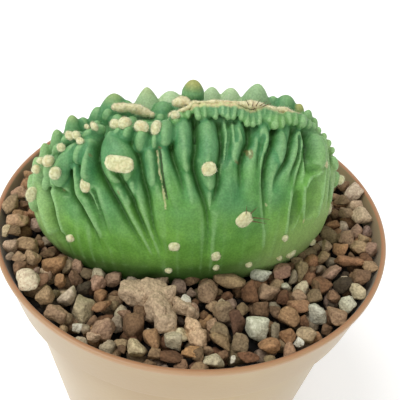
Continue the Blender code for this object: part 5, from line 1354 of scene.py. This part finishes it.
def build_gravel():
    """Fine stones over a dark rough fill, whose dark is partly the bed's colour and partly painted shade in
    the gaps between the stones.
    """
    draw = random.Random(GRAVEL_SEED)
    stones, tints, taken = [], [], []
    eye = CAMERA_PLACE / MM
    for tint, x, y, half_width, half_height, turn in KEY_STONES:
        rise = bank(x, y)
        x, y = (v + (seen - v) * rise / (eye[2] - KEY_HEIGHT) for v, seen in zip((x, y), eye))
        reach = math.hypot(x, y)
        most = wall_radius(0.1004, WALL) / MM - 0.85 * min(half_width, half_height) - 0.2
        x, y = (v * min(1, most / reach) for v in (x, y))
        axes = spun(VIEW_AXES, turn)
        depth = 0.5 * (half_width + half_height)
        place = np.array((x, y, KEY_HEIGHT + rise + draw.uniform(-0.3, 0.3))) * MM
        stones.append((4, place, axes, np.array((half_width, half_height, depth)) * MM * 1.04))
        tints.append(tint)
        taken.append((x, y, 0.5 * (half_width + half_height)))
    for place, halves, turn in PUMICE_LOBES + TAN_LOBES:
        taken.append((place[0] / MM, place[1] / MM, max(halves[:2]) / MM - 0.6))
    layers = {True: list(taken), False: []}
    for level, low, high, close, tries in GRAVEL_LAYERS:
        layer = layers[level > -1]
        for _ in range(tries):
            size = draw.uniform(low, high)
            x, y = (draw.uniform(-GRAVEL_SPREAD, GRAVEL_SPREAD) for _ in range(2))
            if math.hypot(x, y) + size > wall_radius(GRAVEL_LEVEL, WALL) / MM:
                continue
            if in_plant(x * MM, y * MM, 0.4 * size * MM):
                continue
            if any(math.hypot(x - a, y - b) < close * (size + r) for a, b, r in layer):
                continue
            layer.append((x, y, size))
            height = GRAVEL_LEVEL / MM + level + bank(x, y) + draw.uniform(-0.6, 0.8)
            place = np.array((x, y, height)) * MM
            sizes = size * MM * np.array([draw.uniform(0.85, 1.2) for _ in range(3)])
            stones.append((3 if level > -1 and y < 0 else 2, place, turn_axes(draw), sizes))
            tints.append(draw.choice(FILL_TINTS))
    parts, colours = [], []
    for (fineness, place, axes, sizes), tint in zip(stones, tints):
        ways, faces = ball(fineness)
        parts.append(stone_part(draw, ways, faces, place, axes, sizes))
        shade = np.array(srgb(TINTS[tint])) * draw.uniform(0.85, 1.15)
        shade = shade * (1 + 0.03 * any_way(draw))
        patch = 1 + 0.10 * waves(draw, ways, 4, 3)[:, None]
        colours.append(np.clip(shade * patch, 0.01, 0.9))
    paint = rock_paint("gravel_rock", None)
    keys = len(KEY_STONES)
    for name, some in (("gravel_front", slice(0, keys)), ("gravel_rest", slice(keys, None))):
        gravel = solid_of(name, parts[some])
        write_colours(gravel, "tint", np.concatenate(colours[some]))
        put(gravel, paint, "gravel", "gravel_bed")
    step = POT_HEIGHT - COLLAR_HEIGHT
    room = WALL + 0.0003
    profile = [
        (0, BULK_TOP), (0.02, BULK_TOP), (0.04, BULK_TOP), (0.048, BULK_TOP), (0.053, BULK_TOP),
        (wall_radius(BULK_TOP, room), BULK_TOP),
        (wall_radius(step + WALL, room), step + LEDGE_RISE + 0.0006),
        (wall_radius(step - WALL, room), step + 0.0003),
        (wall_radius(FLOOR_LIFT + room, room), FLOOR_LIFT + room),
        (0, FLOOR_LIFT + room),
    ]
    bulk = turned("gravel_fill", profile, 120)
    for vert in bulk.data.vertices:
        if vert.co.z > BULK_TOP - 0.0001:
            vert.co.z += bank(vert.co.x / MM, vert.co.y / MM) * MM
    paint = Paint("gravel_fill", Roughness=1.0)
    grain = paint.span(paint.pits(520), 0.1, 0.7)
    # The fill's near-black is partly the colour of the bed below and partly painted shade in the gaps between
    # the stones
    paint.colour(paint.mix(grain, srgb((50, 40, 30)), srgb((16, 12, 9))))
    paint.bump(grain, 1.0, 0.0015)
    put(bulk, paint, "gravel", "gravel_bed")


def rock_paint(name, tint):
    """Porous volcanic rock: its own tint, specks, pores darkened by painted shade, and a rough face."""
    paint = Paint(name, Roughness=0.92, Specular_IOR_Level=0.25)
    base = tint if tint else paint.attribute("tint", "Color")
    speck = paint.span(paint.noise(1500, 4), 0.30, 0.72)
    colour = paint.mix(0.45, base, paint.mix(speck, (0.30, 0.27, 0.25), (0.95, 0.92, 0.88)), "OVERLAY")
    patchy = paint.span(paint.noise(420, 3), 0.42, 0.60)
    pores = paint.math("MAXIMUM", paint.span(paint.pits(1500), 0.10, 0.24), patchy)
    # Pores are real pits; the dark laid into them is painted shade inside the pits
    dark = paint.math("MULTIPLY", paint.math("SUBTRACT", 1.0, pores), 0.5)
    colour = paint.mix(dark, colour, (0.03, 0.02, 0.015))
    paint.colour(colour)
    rough = paint.math("ADD", paint.noise(1100, 5), paint.math("MULTIPLY", pores, 0.35))
    paint.bump(rough, 0.9, 0.0006)
    return paint


def build_loose_stone(name, node, slot, lobes, seed, tint):
    """One loose stone of the top dressing, of a few fused lobes."""
    draw = random.Random(seed)
    parts = []
    for place, halves, turn in lobes:
        ways, faces = ball(4)
        axes = spun(np.eye(3), turn)
        parts.append(stone_part(draw, ways, faces, np.array(place), axes, np.array(halves) * 1.03, 9, 7))
    made = solid_of(name, parts)
    fuse(made, STONE_VOXEL)
    apply_modifiers(made)
    mesh = made.data
    co = read_values(mesh.vertices, "co", 3)
    normals = read_values(mesh.vertices, "normal", 3)
    rough = 0.10 * waves(draw, co / MM, 10, 1.6) + 0.06 * waves(draw, co / MM, 12, 4.0)
    co = co + normals * rough[:, None] * MM
    mesh.vertices.foreach_set("co", co.ravel())
    mesh.update()
    mesh.shade_smooth()
    put(made, rock_paint(name, srgb(tint)), slot, node)


def build_stage():
    """Pale floor, soft light and the camera of the photograph."""
    floor = solid_of("floor", [(np.array([(-4, -4, 0), (4, -4, 0), (4, 4, 0), (-4, 4, 0)], float),
                                np.array([(0, 1, 2), (0, 2, 3)]))])
    paint = Paint("floor", Roughness=0.9, Emission_Color=(1, 1, 1, 1), Emission_Strength=FLOOR_GLOW)
    paint.colour(paint.mix(paint.noise(3, 2), (0.93, 0.93, 0.92), (0.95, 0.95, 0.94)))
    floor.data.materials.append(paint.material)
    world = bpy.data.worlds.new("studio")
    world.use_nodes = True
    light = world.node_tree.nodes["Background"].inputs
    light["Color"].default_value = (1.0, 1.0, 1.0, 1)
    light["Strength"].default_value = WORLD_LIGHT
    bpy.context.scene.world = world
    for name, spot, size, power in LAMPS:
        lamp = bpy.data.lights.new(name, "AREA")
        lamp.shape = "DISK"
        lamp.size = size
        lamp.energy = power
        made = add_object(name, lamp)
        made.location = spot
        made.rotation_mode = "QUATERNION"
        made.rotation_quaternion = (Vector(spot) - Vector((0, 0, 0.1))).to_track_quat("Z", "Y")
    ahead = -unit(CAMERA_OFFSET)
    right = unit(np.cross(ahead, (0, 0, 1)))
    above = np.cross(right, ahead)
    aside, raised = math.tan(math.radians(CAMERA_YAW)), math.tan(math.radians(CAMERA_PITCH))
    ahead = unit(ahead + aside * right + raised * above)
    right = unit(np.cross(ahead, (0, 0, 1)))
    above = np.cross(right, ahead)
    c, s = math.cos(math.radians(CAMERA_ROLL)), math.sin(math.radians(CAMERA_ROLL))
    columns = (c * right + s * above, -s * right + c * above, -ahead)
    lens = bpy.data.cameras.new("camera")
    lens.sensor_width = SENSOR
    lens.lens = FOCAL_PIXELS / FRAME_PIXELS * SENSOR
    lens.clip_start = 0.01
    eye = add_object("camera", lens)
    turn = Matrix([list(row) for row in np.array(columns).T]).to_4x4()
    eye.matrix_world = Matrix.Translation(CAMERA_PLACE) @ turn
    bpy.context.scene.camera = eye
    bpy.context.scene.view_settings.view_transform = "Standard"


build_stage()
build_pot()
build_gravel()
build_loose_stone("pumice_block", "pumice_chunk", "pumice", PUMICE_LOBES, PUMICE_SEED, (176, 155, 128))
build_loose_stone("tan_pebble", "tan_stone", "tan_rock", TAN_LOBES, TAN_SEED, (190, 162, 130))
build_cactus()
build_areoles()
build_wool()
build_spines()
